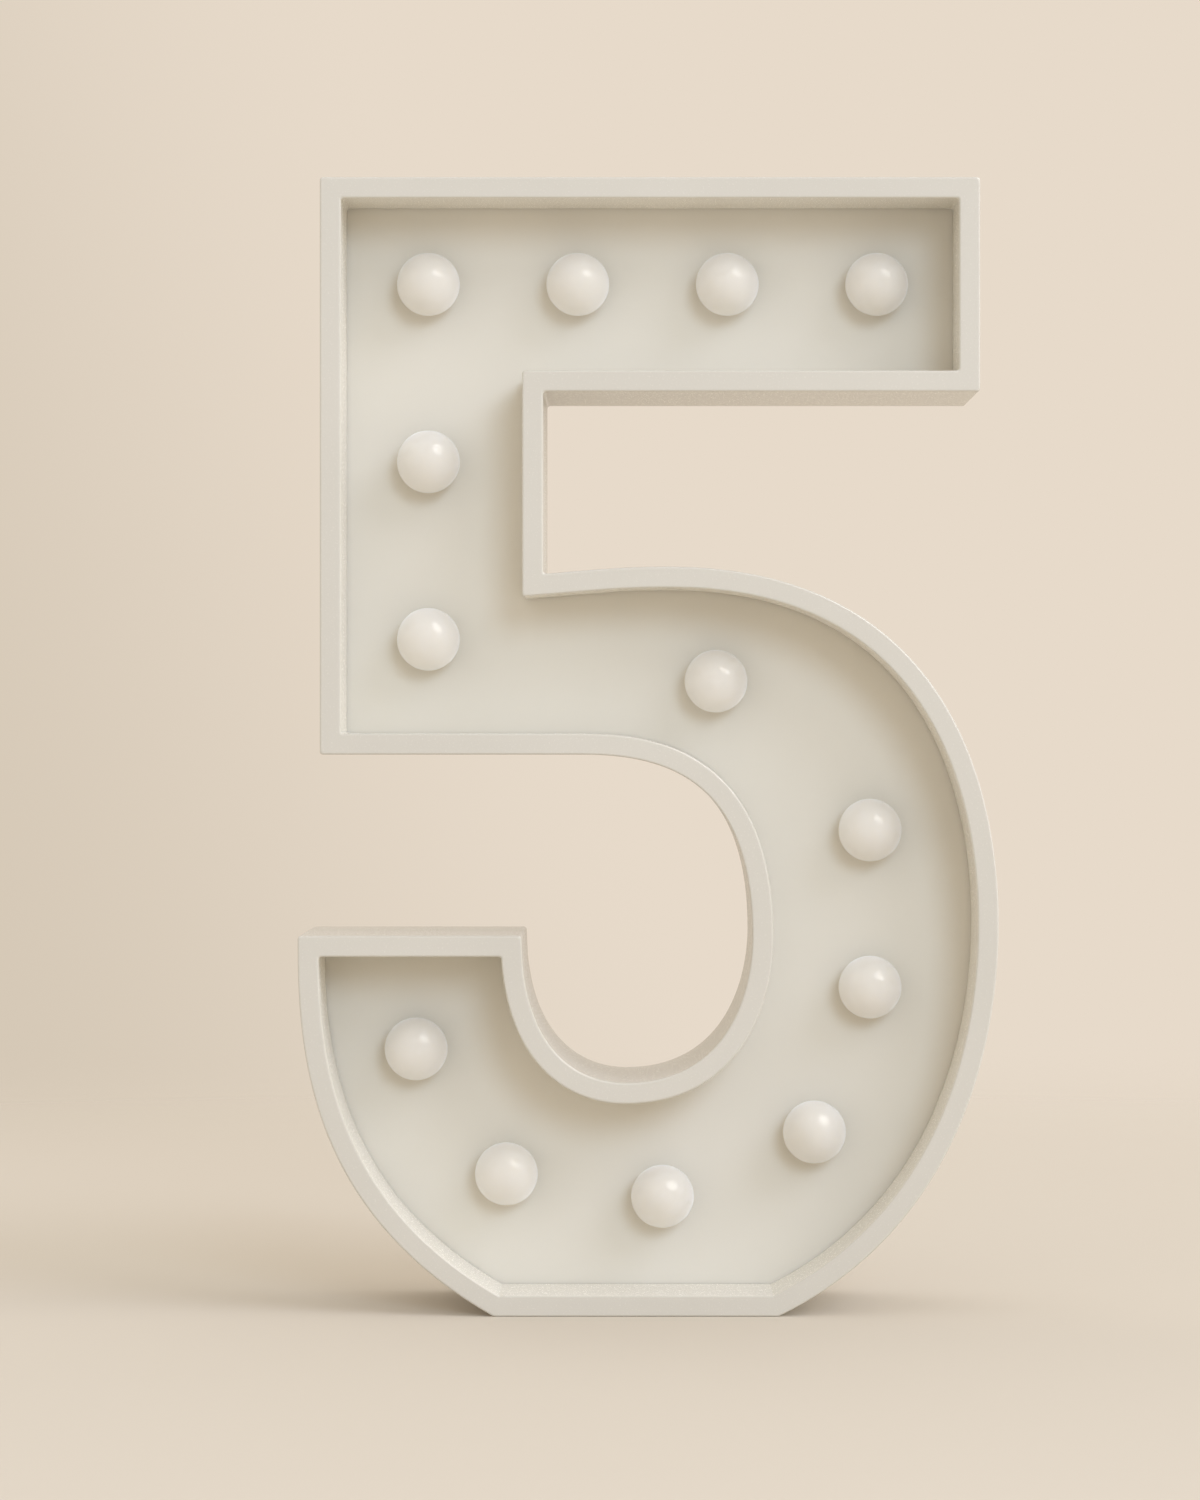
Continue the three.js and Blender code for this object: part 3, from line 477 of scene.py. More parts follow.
def smooth_facets(bm, target, cuts):
    """Divides the edges that run along a curve, and moves their new points onto it.

    target gives the curve's point nearest to a point in the plane of the face.
    """
    def place(vert):
        return Vector((vert.co.x, vert.co.z))

    def distance(point):
        return (target(point) - point).length

    on_curve = {vert for vert in bm.verts if distance(place(vert)) < ON_CURVE}
    facets = []
    for edge in bm.edges:
        start, end = edge.verts
        level = abs(start.co.y - end.co.y) < ON_CURVE
        if level and start in on_curve and end in on_curve:
            if distance((place(start) + place(end)) / 2) > OFF_CURVE:
                facets.append(edge)
    made = bmesh.ops.subdivide_edges(bm, edges=facets, cuts=cuts)["geom_inner"]
    for vert in made:
        if isinstance(vert, bmesh.types.BMVert):
            vert.co.x, vert.co.z = target(place(vert))


def moulded_copy(name, source, edge_round, curves=()):
    """A copy of a CAD piece with its triangles merged into faces and its edges rounded.

    curves are the pairs of a curve and a count of cuts that make its facets smooth.
    """
    bm = bmesh.new()
    bm.from_mesh(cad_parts[source].data)
    bmesh.ops.scale(bm, vec=(1 / MM, 1 / MM, 1 / MM), verts=bm.verts)
    bmesh.ops.remove_doubles(bm, verts=bm.verts, dist=SAME_PLACE)
    bmesh.ops.dissolve_limit(
        bm, angle_limit=math.radians(FLAT_ANGLE), verts=bm.verts, edges=bm.edges,
        use_dissolve_boundaries=False,
    )
    for curve, cuts in curves:
        smooth_facets(bm, curve, cuts)
    sharp = [
        edge for edge in bm.edges
        if len(edge.link_faces) == 2 and edge.calc_face_angle(0) > math.radians(ROUNDED_ANGLE)
    ]
    round_edges(bm, sharp, edge_round)
    return finished(name, bm)


def joined(name, pieces):
    """Joins pieces that share one body into the first of them."""
    bm = bmesh.new()
    for piece in pieces:
        bm.from_mesh(piece.data)
    bm.to_mesh(pieces[0].data)
    bm.free()
    for piece in pieces[1:]:
        bpy.data.objects.remove(piece)
    pieces[0].name = name
    return pieces[0]


# Materials. A Mix node has sockets of several kinds with the same names, so that those for
# colours go by number.
MIX_COLOUR_A, MIX_COLOUR_B, MIX_COLOUR = 6, 7, 2


def linear(code):
    """A linear colour from an sRGB hex code."""
    shares = [int(code[i:i + 2], 16) / 255 for i in (0, 2, 4)]
    return tuple(
        s / 12.92 if s <= 0.04045 else ((s + 0.055) / 1.055) ** 2.4 for s in shares
    ) + (1.0,)


def new_material(name):
    material = bpy.data.materials.new(name)
    material.use_nodes = True
    tree = material.node_tree
    return material, tree, tree.nodes["Principled BSDF"]


def moulded_plastic(name, tones, roughness, grain_mm=0.35, grain_depth=0.006, blotch_mm=38.0):
    """Moulded plastic: two near tones in wide soft blotches, and the tool's fine matte grain.

    The real grain is too fine to show, so it is drawn several times coarser.
    """
    material, tree, shader = new_material(name)
    place = node(tree, "ShaderNodeTexCoord").outputs["Object"]
    blotch = node(tree, "ShaderNodeTexNoise", {
        "Vector": place, "Scale": 1 / (blotch_mm * MM), "Detail": 3.0, "Roughness": 0.45,
    })
    spread = node(tree, "ShaderNodeMapRange", {
        "Value": blotch.outputs[0], "From Min": 0.3, "From Max": 0.7,
    })
    colour = node(tree, "ShaderNodeMix", {
        "Factor": spread.outputs[0], MIX_COLOUR_A: linear(tones[0]), MIX_COLOUR_B: linear(tones[1]),
    }, data_type="RGBA")
    tree.links.new(colour.outputs[MIX_COLOUR], shader.inputs["Base Color"])
    grain = node(tree, "ShaderNodeTexNoise", {
        "Vector": place, "Scale": 1 / (grain_mm * MM), "Detail": 2.0, "Roughness": 0.6,
    })
    gloss = node(tree, "ShaderNodeMapRange", {
        "Value": grain.outputs[0],
        "To Min": roughness - PLASTIC_SPREAD, "To Max": roughness + PLASTIC_SPREAD,
    })
    tree.links.new(gloss.outputs[0], shader.inputs["Roughness"])
    bump = node(tree, "ShaderNodeBump", {
        "Height": grain.outputs[0], "Strength": 0.5, "Distance": grain_depth * MM,
    })
    tree.links.new(bump.outputs[0], shader.inputs["Normal"])
    shader.inputs["IOR"].default_value = 1.54
    return material


# Frame, panel, cover and door: warm white ABS from a spark eroded tool. The grain takes
# the shine off, and the tone drifts a little where the melt cooled at different rates. The walls
# round the recess are painted a little paler than the rims, as the photograph shows them: painted
# light, which stands in for the light that falls on the walls.
frame_abs = moulded_plastic("warm_white_abs_frame", ("CFC9BC", "CBC5B8"), 0.26)
recess_painted_lighter_abs = moulded_plastic("warm_white_abs_recess_painted_lighter", ("EDE8DC", "E9E4D8"), 0.26)
panel_abs = moulded_plastic("warm_white_abs_panel", ("DDD7C9", "D9D3C5"), 0.68)
cover_abs = moulded_plastic("warm_white_abs_cover", ("DCD5CB", "D8D1C6"), 0.66, grain_depth=0.009)
knob_abs = moulded_plastic("warm_white_abs_knob", ("CEC7BC", "CAC3B7"), 0.5)

# Globes: milky PMMA, moulded in a polished tool. Light goes a little way in, so its shading is
# soft, and the skin is smooth enough for one broad highlight, with faint waves as wide as a
# millimetre.
globe_pmma = moulded_plastic(
    "milky_pmma_globe", ("D3CEC5", "CFCAC0"), 0.07, grain_mm=1.2, grain_depth=0.004, blotch_mm=9.0,
)
for name, value in {
    "Subsurface Weight": 1.0,
    "Subsurface Radius": (0.012, 0.0117, 0.0112),
    "Subsurface Scale": 1.0,
    "Subsurface Anisotropy": 0.8,
    "Sheen Weight": 0.8,
    "Sheen Roughness": 0.6,
    "IOR": 1.49,
}.items():
    globe_pmma.node_tree.nodes["Principled BSDF"].inputs[name].default_value = value

# Switch case: black PBT, moulded, with a dull skin
switch_pbt = moulded_plastic("black_pbt_switch", ("28282B", "212124"), 0.48)
# Diodes: clear epoxy over a phosphor, cast, glossy and slightly yellow
diode_epoxy = moulded_plastic("phosphor_epoxy_diode", ("F1E1AB", "ECD99A"), 0.14, grain_depth=0.0)
# Insulation: extruded PVC, smooth, with a soft shine along the wire
red_pvc = moulded_plastic("red_pvc_insulation", ("A8322C", "9C2C27"), 0.42, blotch_mm=12.0)
black_pvc = moulded_plastic("black_pvc_insulation", ("2D2D2F", "262628"), 0.42, blotch_mm=12.0)
# Resistor body: tan lacquer over ceramic, dipped, slightly uneven
resistor_lacquer = moulded_plastic(
    "tan_lacquer_resistor", ("C8A878", "BE9C6B"), 0.36, blotch_mm=2.0,
)
# Cell sleeve: shrunk PVC film, smooth and faintly wavy
sleeve_pvc = moulded_plastic("grey_pvc_cell_sleeve", ("7F878E", "737B82"), 0.3, blotch_mm=6.0)


def plated_steel(name, tone, roughness, streak_mm):
    """Plated steel: bright metal with faint streaks where it was drawn or pressed.

    The real streaks are too fine to show, so they are drawn several times coarser.
    """
    material, tree, shader = new_material(name)
    place = node(tree, "ShaderNodeTexCoord").outputs["Object"]
    stretched = node(tree, "ShaderNodeMapping", {
        "Vector": place, "Scale": (1.0, STREAK_STRETCH, 1.0),
    })
    streaks = node(tree, "ShaderNodeTexNoise", {
        "Vector": stretched.outputs[0], "Scale": 1 / (streak_mm * MM), "Detail": 3.0,
    })
    gloss = node(tree, "ShaderNodeMapRange", {
        "Value": streaks.outputs[0],
        "To Min": roughness - STEEL_BELOW, "To Max": roughness + STEEL_ABOVE,
    })
    tree.links.new(gloss.outputs[0], shader.inputs["Roughness"])
    shader.inputs["Base Color"].default_value = linear(tone)
    shader.inputs["Metallic"].default_value = 1.0
    return material


# Cover screws: zinc plated steel, tumbled, with a slightly blue and dull shine
screw_zinc = plated_steel("zinc_plated_steel_screw", "BDBEBC", 0.32, 0.4)
# Contacts and cell caps: nickel plated spring steel, pressed, brighter and a little yellow
contact_nickel = plated_steel("nickel_plated_steel_contact", "CFCBC2", 0.24, 0.3)

# The camera, at the photograph's viewing angle, with its places in metres
camera = new_object("camera", bpy.data.cameras.new("camera"))
camera.location = (-0.001, -0.958, 0.1148)
camera.rotation_euler = (math.pi / 2, 0, 0)
camera.data.sensor_width = 36.0
camera.data.lens = 116.4
camera.data.shift_x = -0.0287
camera.data.shift_y = -0.0187
bpy.context.scene.camera = camera


# Frame: the rim moulding


def rim_tree():
    """A hollow rim moulding: its profile, from the sizes, carried round an outline."""
    tree, given = tree_with("rim_moulding", [
        ("Outline", "Geometry"), ("Depth", "Float"), ("Inner wall depth", "Float"),
        ("Rim width", "Float"), ("Wall", "Float"), ("Edge round", "Float"),
        ("Material", "Material"), ("Recess material painted lighter", "Material"),
    ])

    back = node(
        tree, "ShaderNodeMath", {0: given["Depth"], 1: 0.5}, operation="MULTIPLY",
    ).outputs[0]
    front = node(tree, "ShaderNodeMath", {0: back, 1: -1.0}, operation="MULTIPLY").outputs[0]
    inner_end = node(tree, "ShaderNodeMath", {0: front, 1: given["Inner wall depth"]}).outputs[0]
    ceiling = node(tree, "ShaderNodeMath", {0: front, 1: given["Wall"]}).outputs[0]
    inner_back = node(
        tree, "ShaderNodeMath", {0: given["Rim width"], 1: given["Wall"]}, operation="SUBTRACT",
    ).outputs[0]
    corners = [
        (0.0, back), (0.0, front), (given["Rim width"], front), (given["Rim width"], inner_end),
        (inner_back, inner_end), (inner_back, ceiling), (given["Wall"], ceiling),
        (given["Wall"], back),
    ]
    index = node(tree, "GeometryNodeInputIndex").outputs[0]
    pick = node(tree, "GeometryNodeIndexSwitch", {"Index": index}, data_type="VECTOR")
    for _ in corners[len(pick.index_switch_items):]:
        pick.index_switch_items.new()
    for i, (inset, depth) in enumerate(corners):
        corner = node(tree, "ShaderNodeCombineXYZ", {"X": inset, "Y": depth})
        tree.links.new(corner.outputs[0], pick.inputs[i + 1])
    points = node(tree, "GeometryNodePoints", {
        "Count": len(corners), "Position": pick.outputs[0],
    })
    line = node(tree, "GeometryNodePointsToCurves", {"Points": points.outputs[0]})
    ring = node(tree, "GeometryNodeSetSplineCyclic", {"Geometry": line.outputs[0], "Cyclic": True})
    # The first three corners show and get the whole round, and the hidden ones a part of it
    outside = node(tree, "FunctionNodeCompare", {
        "A": index, "B": LAST_OUTER_CORNER,
    }, data_type="INT", operation="LESS_EQUAL")
    round_share = node(tree, "GeometryNodeSwitch", {
        "Switch": outside.outputs[0], "False": INNER_ROUND_SHARE, "True": 1.0,
    }, input_type="FLOAT")
    radius = node(tree, "ShaderNodeMath", {
        0: given["Edge round"], 1: round_share.outputs[0],
    }, operation="MULTIPLY")
    rounded = node(tree, "GeometryNodeFilletCurve", {
        "Curve": ring.outputs[0], "Radius": radius.outputs[0], "Count": ROUND_STEPS,
    }, mode="POLY")
    position = node(tree, "GeometryNodeInputPosition").outputs[0]
    profile = node(tree, "GeometryNodeStoreNamedAttribute", {
        "Geometry": rounded.outputs[0], "Name": "profile", "Value": position,
    }, data_type="FLOAT_VECTOR")
    path = node(tree, "GeometryNodeMeshToCurve", {"Mesh": given["Outline"]})
    outline = node(tree, "GeometryNodeStoreNamedAttribute", {
        "Geometry": path.outputs[0], "Name": "outline", "Value": position,
    }, data_type="FLOAT_VECTOR")
    skin = node(tree, "GeometryNodeCurveToMesh", {
        "Curve": outline.outputs[0], "Profile Curve": profile.outputs[0],
    })
    kept = {
        name: node(
            tree, "GeometryNodeInputNamedAttribute", {"Name": name}, data_type="FLOAT_VECTOR",
        ).outputs[0]
        for name in ("outline", "mitre", "profile")
    }
    parts = node(tree, "ShaderNodeSeparateXYZ", {0: kept["profile"]}).outputs
    inwards = node(
        tree, "ShaderNodeVectorMath", {0: kept["mitre"], "Scale": parts["X"]}, operation="SCALE",
    )
    in_plane = node(tree, "ShaderNodeVectorMath", {0: kept["outline"], 1: inwards.outputs[0]})
    depth = node(tree, "ShaderNodeCombineXYZ", {"Y": parts["Y"]})
    place = node(tree, "ShaderNodeVectorMath", {0: in_plane.outputs[0], 1: depth.outputs[0]})
    swept = node(tree, "GeometryNodeSetPosition", {
        "Geometry": skin.outputs[0], "Position": place.outputs[0],
    })
    # The wall round the recess, painted paler as painted light, is as far in as the rim is wide,
    # and its round belongs to the rim
    wall_inset = node(tree, "ShaderNodeMath", {
        0: given["Edge round"], 1: -WALL_TONE_SHARE, 2: given["Rim width"],
    }, operation="MULTIPLY_ADD")
    in_recess = node(tree, "FunctionNodeCompare", {
        "A": parts["X"], "B": wall_inset.outputs[0],
    }, data_type="FLOAT", operation="GREATER_THAN")
    close_tree(
        tree, swept.outputs[0], given["Material"],
        (in_recess.outputs[0], given["Recess material painted lighter"]),
    )
    return tree


def outline_object(name):
    """The rounded outline as a closed loop of edges that carries its mitres."""
    places, mitres = mitred(clear_of_corners(numeral_outline()))
    mesh = bpy.data.meshes.new(name)
    count = len(places)
    mesh.from_pydata(
        [(p.x * MM, 0, p.y * MM) for p in places], [(i, (i + 1) % count) for i in range(count)], [],
    )
    carried = mesh.attributes.new("mitre", "FLOAT_VECTOR", "POINT")
    for i, mitre in enumerate(mitres):
        carried.data[i].vector = (mitre.x, 0, mitre.y)
    return new_object(name, mesh)


side_frame = baked(outline_object("side_frame_moulding"), rim_tree(), {
    "Depth": NUMERAL_DEPTH * MM,
    "Inner wall depth": INNER_WALL_DEPTH * MM,
    "Rim width": RIM_WIDTH * MM,
    "Wall": WALL * MM,
    "Edge round": EDGE_ROUND * MM,
    "Material": frame_abs,
    "Recess material painted lighter": recess_painted_lighter_abs,
})
shade(side_frame.data, SHARP_EDGE)
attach(side_frame, "housing")
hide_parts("side_frame")
weigh_normals(side_frame)


# Globes and screws, each a master piece set on its places


def places_tree():
    """A master piece on every point, turned about the numeral's depth by a random angle."""
    tree, given = tree_with("pieces_on_places", [
        ("Places", "Geometry"), ("Piece", "Object"), ("Largest turn", "Float"), ("Seed", "Int"),
        ("Material", "Material"),
    ])
    piece = node(tree, "GeometryNodeObjectInfo", {"Object": given["Piece"]})
    angle = node(tree, "FunctionNodeRandomValue", {
        "Max": given["Largest turn"], "Seed": given["Seed"],
    }, data_type="FLOAT")
    turn = node(tree, "ShaderNodeCombineXYZ", {"Y": angle.outputs["Value"]})
    points = node(tree, "GeometryNodeMeshToPoints", {"Mesh": given["Places"]})
    spread = node(tree, "GeometryNodeInstanceOnPoints", {
        "Points": points.outputs[0], "Instance": piece.outputs["Geometry"],
        "Rotation": turn.outputs[0],
    })
    close_tree(tree, spread.outputs[0], given["Material"])
    return tree


on_places = places_tree()


def set_on_places(name, places, master, largest_turn, material):
    mesh = bpy.data.meshes.new(name)
    mesh.from_pydata([(x * MM, 0, z * MM) for x, z in places], [], [])
    piece = baked(new_object(name, mesh), on_places, {
        "Piece": master, "Largest turn": largest_turn, "Seed": TURN_SEED, "Material": material,
    })
    bpy.data.objects.remove(master)
    return piece


def globe_section():
    """The half section of a globe: its bore and neck, and the ball from the seat to the pole."""
    seat_angle = math.acos((GLOBE_CENTRE - GLOBE_SEAT) / GLOBE_RADIUS)
    angles = [seat_angle * (1 - i / GLOBE_STEPS) for i in range(GLOBE_STEPS)]
    ball = [
        (GLOBE_RADIUS * math.sin(angle), GLOBE_CENTRE - GLOBE_RADIUS * math.cos(angle))
        for angle in angles
    ]
    return GLOBE_NECK + ball + [(0.0, GLOBE_CENTRE - GLOBE_RADIUS)]


globe = lathe("globe", globe_section(), GLOBE_SIDES)
globes = set_on_places("globes", LAMPS, globe, 0.0, globe_pmma)
shade(globes.data, SHARP_EDGE)
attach(globes, "housing")
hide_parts(*[f"globe_{i}" for i in range(1, 14)])


def cross_screw():
    """A pan head screw with a cross recess, its head towards the back."""
    screw = lathe("screw", SCREW_SECTION, SCREW_SIDES)
    bm = bmesh.new()
    for wide, narrow in ((CROSS_WIDTH, CROSS_LENGTH), (CROSS_LENGTH, CROSS_WIDTH)):
        made = box(
            bm, (-wide / 2, CROSS_CENTRE - CROSS_DEPTH / 2, -narrow / 2),
            (wide / 2, CROSS_CENTRE + CROSS_DEPTH / 2, narrow / 2),
        )
        deep = [vert for vert in made if vert.co.y < CROSS_CENTRE]
        bmesh.ops.scale(bm, vec=(CROSS_TAPER, 1, CROSS_TAPER), verts=deep)
    recess = finished("recess", bm)
    modifier = screw.modifiers.new("recess", "BOOLEAN")
    modifier.object = recess
    modifier.solver = "EXACT"
    modifier.use_self = True
    graph = bpy.context.evaluated_depsgraph_get()
    mesh = bpy.data.meshes.new_from_object(screw.evaluated_get(graph))
    screw.modifiers.remove(modifier)
    screw.data = mesh
    bpy.data.objects.remove(recess)
    return screw


cover_screws = set_on_places("cover_screws", SCREWS, cross_screw(), math.tau, screw_zinc)
shade(cover_screws.data, SHARP_SCREW_EDGE)
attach(cover_screws, "housing")
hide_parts(*[f"cover_screw_{i}" for i in range(1, 9)])


# Cover, door and knob: the CAD shapes with their edges rounded


def inset_outline(inset):
    """The outline moved inwards, without rounding its corners."""
    points = clear_of_corners(numeral_outline())
    moved = []
    for i, point in enumerate(points):
        first = (point - points[i - 1]).normalized()
        second = (points[(i + 1) % len(points)] - point).normalized()
        mitre = Vector((-first.y - second.y, first.x + second.x)).normalized()
        moved.append(point + mitre / mitre.dot(Vector((-second.y, second.x))) * inset)
    return moved


plate_edge = inset_outline(WALL + PLATE_GAP)

rear_cover = moulded_copy("rear_cover_moulding", "rear_cover", COVER_ROUND, [
    (lambda point: nearest_on(plate_edge, point), CURVE_CUTS),
    *[(circle(x, z, KEYHOLE_RADIUS), CURVE_CUTS) for x, z in KEYHOLES],
    *[(circle(x, z + KEYHOLE_SLOT_RISE, KEYHOLE_SLOT_RADIUS), CURVE_CUTS) for x, z in KEYHOLES],
    *[(circle(x, z, SCREW_CUP_RADIUS), CUP_CUTS) for x, z in SCREWS],
])
rear_cover.data.materials.append(cover_abs)
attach(rear_cover, "housing")
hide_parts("rear_cover")
weigh_normals(rear_cover)

door = moulded_copy("battery_door_moulding", "battery_door", SMALL_ROUND)
door.data.materials.append(cover_abs)
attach(door, "battery_door")
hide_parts("battery_door")
weigh_normals(door)

slider = moulded_copy("switch_slider_moulding", "switch_slider", SMALL_ROUND)
slider.data.materials.append(knob_abs)
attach(slider, "switch_slider")
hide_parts("switch_slider")
weigh_normals(slider)


# Cells and contacts in the battery bay


def cell_piece(name, x, foot, way):
    """A cell with bright ends in a grey sleeve. way is 1 with its cap up, and -1 with it down."""
    section = [(radius, way * height) for radius, height in CELL_SECTION]
    cell = lathe(name, section, CELL_SIDES, (x, CELL_Y, foot), "Z")
    cell.data.materials.append(contact_nickel)
    cell.data.materials.append(sleeve_pvc)
    for face in cell.data.polygons:
        along = (face.center.z / MM - foot) * way
        out = math.hypot(face.center.x / MM - x, face.center.y / MM - CELL_Y)
        sleeved = out >= SLEEVE_EDGE_RADIUS and 0.0 <= along <= SLEEVE_TOP
        face.material_index = 1 if sleeved else 0
    return cell


cell_right = cell_piece("cell_right_sleeved", RIGHT_CELL_X, RIGHT_CELL_FOOT, 1)
cell_left = cell_piece("cell_left_sleeved", LEFT_CELL_X, LEFT_CELL_FOOT, -1)
for cell, replaced in ((cell_right, "cell_right"), (cell_left, "cell_left")):
    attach(cell, "housing")
    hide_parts(replaced)


def spring_tree():
    """A conical contact spring: a spiral of round wire that narrows towards the cell."""
    tree, given = tree_with("contact_spring", [
        ("Start", "Geometry"), ("Turns", "Float"), ("Base radius", "Float"),
        ("Tip radius", "Float"), ("Length", "Float"), ("Wire radius", "Float"),
        ("Material", "Material"),
    ])
    spiral = node(tree, "GeometryNodeCurveSpiral", {
        "Resolution": SPRING_STEPS, "Rotations": given["Turns"],
        "Start Radius": given["Base radius"], "End Radius": given["Tip radius"],
        "Height": given["Length"],
    })
    wire = node(tree, "GeometryNodeCurvePrimitiveCircle", {
        "Resolution": WIRE_SIDES, "Radius": given["Wire radius"],
    })
    skin = node(tree, "GeometryNodeCurveToMesh", {
        "Curve": spiral.outputs[0], "Profile Curve": wire.outputs[0], "Fill Caps": True,
    })
    close_tree(tree, skin.outputs[0], given["Material"])
    return tree


coil = spring_tree()


def contact(name, boxes, replaced, spring_at=None):
    """A pressed contact: its boxes, each a low and a high corner, and its spring, if it has one.

    spring_at is the spring's place across, the height of its foot, and whether it points down.
    """
    bm = bmesh.new()
    for low, high in boxes:
        made = box(bm, low, high)
        round_edges(bm, list({edge for vert in made for edge in vert.link_edges}), CONTACT_ROUND)
    plate = finished(name, bm)
    plate.data.materials.append(contact_nickel)
    if spring_at:
        x, foot, downwards = spring_at
        spring = baked(new_object(name + "_spring", bpy.data.meshes.new(name)), coil, {
            "Turns": SPRING_TURNS, "Base radius": SPRING_BASE_RADIUS * MM,
            "Tip radius": SPRING_TIP_RADIUS * MM, "Length": SPRING_LENGTH * MM,
            "Wire radius": SPRING_WIRE_RADIUS * MM, "Material": contact_nickel,
        })
        if downwards:
            spring.data.transform(Matrix.Rotation(math.pi, 4, "X"))
        spring.data.transform(Matrix.Translation((x * MM, CELL_Y * MM, foot * MM)))
        shade(spring.data, SHARP_WIRE_EDGE)
        plate = joined(name, [plate, spring])
    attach(plate, "housing")
    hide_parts(replaced)


def end_plate(x):
    """The two boxes of a contact over a cell: its plate and its tag."""
    return [
        ((x - PLATE_REACH, CELL_Y - PLATE_REACH, END_PLATE_FOOT),
         (x + PLATE_REACH, CELL_Y + PLATE_REACH, END_PLATE_TOP)),
        ((x - TAG_REACH, CELL_Y - TAG_HALF_DEPTH, TAG_FOOT),
         (x + TAG_REACH, CELL_Y + TAG_HALF_DEPTH, TAG_TOP)),
    ]


contact("bridge_with_spring", [
    ((BAY_X - BRIDGE_REACH, CELL_Y - PLATE_REACH, BRIDGE_FOOT),
     (BAY_X + BRIDGE_REACH, CELL_Y + PLATE_REACH, BRIDGE_TOP)),
], "contact_bridge", (RIGHT_CELL_X, BRIDGE_TOP, False))
contact("positive_plate", end_plate(RIGHT_CELL_X), "contact_positive")
contact(
    "negative_plate_with_spring", end_plate(LEFT_CELL_X), "contact_negative",
    (LEFT_CELL_X, END_PLATE_FOOT, True),
)


# CAD pieces that stay, in their real materials


def paint(material, *names):
    for name in names:
        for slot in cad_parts[name].material_slots:
            slot.material = material


paint(panel_abs, "face_panel")
paint(switch_pbt, "switch_body")
paint(diode_epoxy, *[f"diode_{i}" for i in range(1, 14)])
paint(resistor_lacquer, "series_resistor")
paint(red_pvc, "string_wire_positive", "battery_lead_positive")
paint(black_pvc, "string_wire_negative", "battery_lead_negative")

# Floor. It fades out with distance into the backdrop, so that no horizon shows.
floor_mesh = bpy.data.meshes.new("floor")
floor_mesh.from_pydata([
    (x * FLOOR_REACH * MM, y * FLOOR_REACH * MM, 0) for x, y in ((-1, -1), (1, -1), (1, 1), (-1, 1))
], [], [(0, 1, 2, 3)])
floor = new_object("floor", floor_mesh)
floor_paper, tree, shader = new_material("floor_paper")
place = node(tree, "ShaderNodeTexCoord").outputs["Object"]
away = node(tree, "ShaderNodeVectorMath", {0: place}, operation="LENGTH")
fade = node(tree, "ShaderNodeMapRange", {
    "Value": away.outputs["Value"], "From Min": FADE_START * MM, "From Max": FADE_END * MM,
    "To Min": 1.0, "To Max": 0.0,
}, interpolation_type="SMOOTHSTEP")
tree.links.new(fade.outputs[0], shader.inputs["Alpha"])
shader.inputs["Base Color"].default_value = linear("D3C9B9")
shader.inputs["Roughness"].default_value = 0.9
shader.inputs["Specular IOR Level"].default_value = 0.1
floor.data.materials.append(floor_paper)

# World: a warm ambient light, and the backdrop where the camera, a gloss or a glass shows it
world = bpy.data.worlds.new("studio")
bpy.context.scene.world = world
world.use_nodes = True
tree = world.node_tree
tree.nodes.clear()
path = node(tree, "ShaderNodeLightPath").outputs
seen = node(tree, "ShaderNodeMath", {
    0: path["Is Camera Ray"], 1: path["Is Glossy Ray"],
}, operation="MAXIMUM")
seen = node(tree, "ShaderNodeMath", {
    0: seen.outputs[0], 1: path["Is Transmission Ray"],
}, operation="MAXIMUM")
ambient = node(tree, "ShaderNodeBackground", {
    "Color": (1.0, 0.944, 0.88, 1.0), "Strength": 0.91,
})
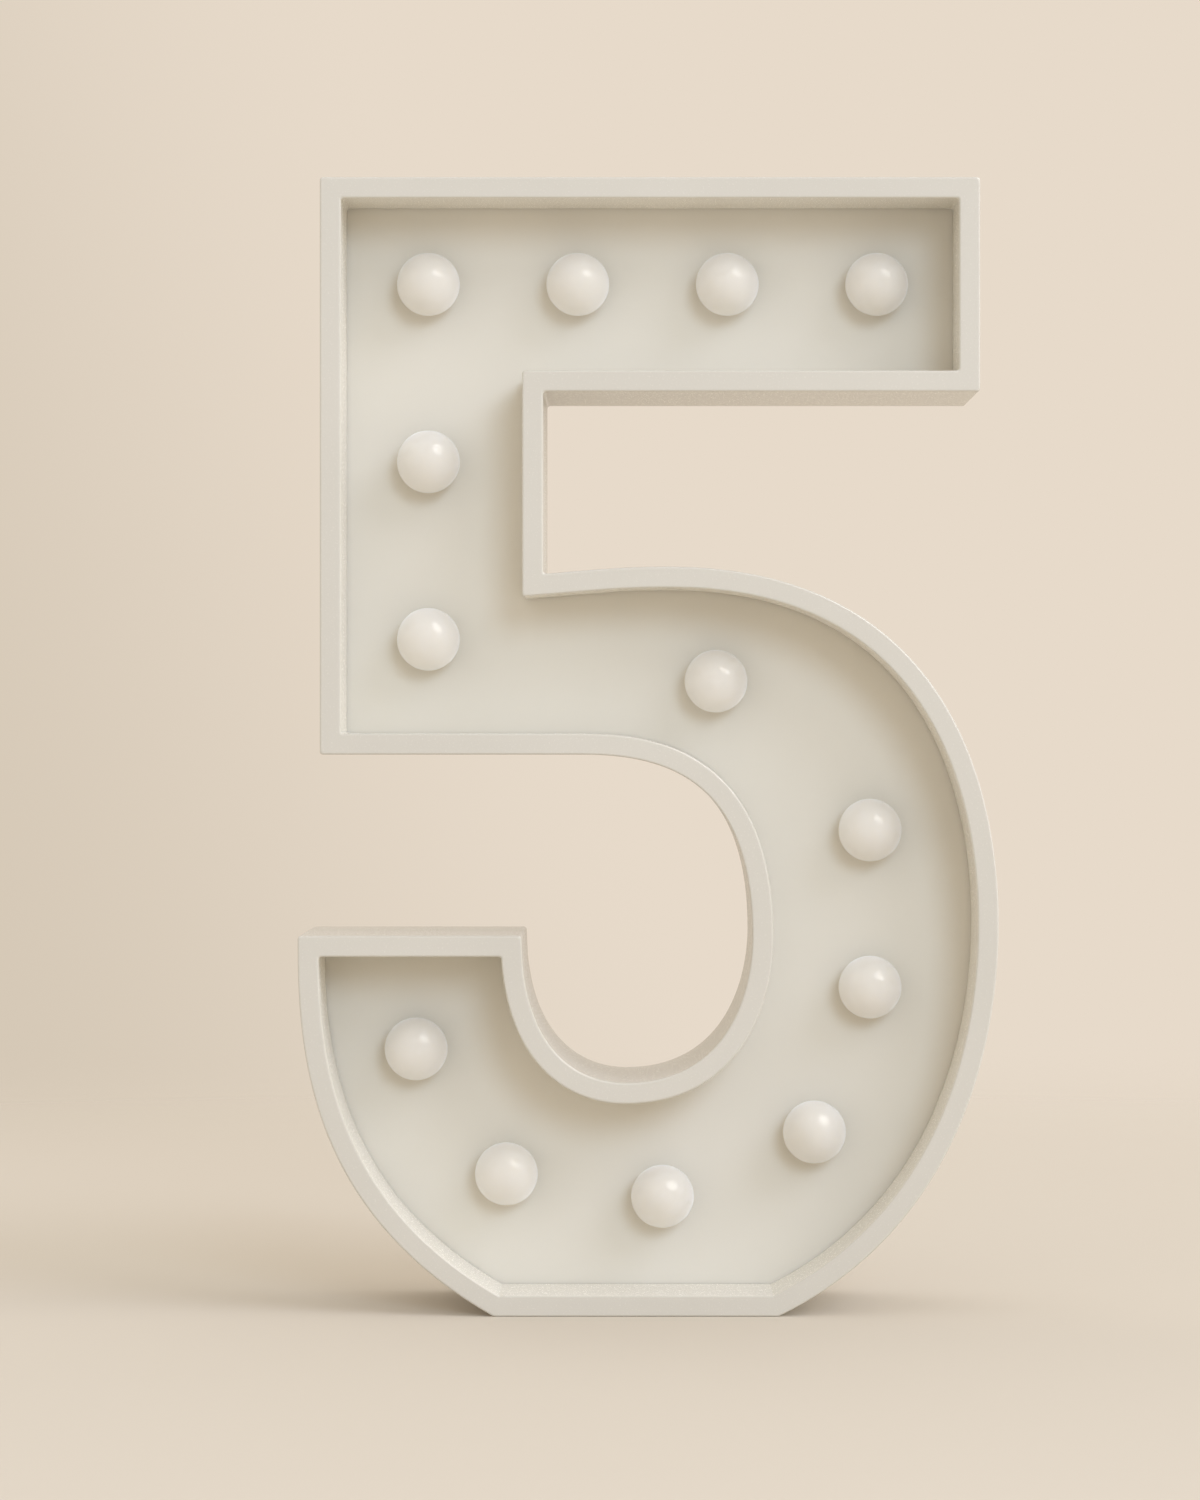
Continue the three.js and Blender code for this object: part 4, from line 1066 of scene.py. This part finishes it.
# The backdrop is painted a little darker towards the numeral's left and below: painted shade, where
# the light falls off
direction = node(tree, "ShaderNodeTexCoord").outputs["Generated"]
way = node(tree, "ShaderNodeSeparateXYZ", {0: direction})
tilt = node(tree, "ShaderNodeMath", {
    0: way.outputs["Z"], 1: BACKDROP_SLOPE, 2: way.outputs["X"],
}, operation="MULTIPLY_ADD")
falloff = node(tree, "ShaderNodeMapRange", {
    "Value": tilt.outputs[0], "From Min": BACKDROP_DARK, "From Max": 0.0,
}, interpolation_type="SMOOTHSTEP")
sweep = node(tree, "ShaderNodeMix", {
    "Factor": falloff.outputs[0], MIX_COLOUR_A: linear("D5C8B6"), MIX_COLOUR_B: linear("E7DACA"),
}, data_type="RGBA")
backdrop = node(tree, "ShaderNodeBackground", {
    "Color": sweep.outputs[MIX_COLOUR], "Strength": 1.0,
})
mixed = node(tree, "ShaderNodeMixShader", {
    0: seen.outputs[0], 1: ambient.outputs[0], 2: backdrop.outputs[0],
})
node(tree, "ShaderNodeOutputWorld", {"Surface": mixed.outputs[0]})


def soft_light(name, place, size, power, tone):
    """A round light that faces the numeral's middle, with its place and size in metres."""
    light = bpy.data.lights.new(name, "AREA")
    light.shape = "DISK"
    light.size = size
    light.energy = power
    light.color = tone
    made = new_object(name, light)
    made.location = place
    away = Vector(place) - Vector((0, 0, NUMERAL_HEIGHT / 2 * MM))
    made.rotation_euler = away.to_track_quat("Z", "Y").to_euler()
    return made


# The key, upper right. One light in front casts the short shadows inside the recess, and the
# others lift the numeral's sides. No glossy surface shows any of them.
for name, place, size, power, tone in (
    ("key", (1.837, -1.488, 1.957), 1.7, 28.0, (0.71, 0.785, 1.0)),
    ("front", (0.738, -2.756, 1.037), 1.0, 26.0, (0.57, 0.747, 1.0)),
    ("side", (2.923, -0.256, 0.734), 1.5, 27.0, (1.0, 1.0, 1.0)),
    ("behind", (-1.748, 2.083, 1.378), 1.5, 6.0, (0.95, 0.96, 1.0)),
):
    soft_light(name, place, size, power, tone).visible_glossy = False

# The light that shows on the globes. It casts no shadow, so that no rim hides it from a globe.
gloss = soft_light("gloss", (1.632, -1.521, 2.137), 2.1, 48.0, (1.0, 0.98, 0.92))
gloss.visible_diffuse = False
gloss.data.use_shadow = False

bpy.context.scene.view_settings.view_transform = "Standard"
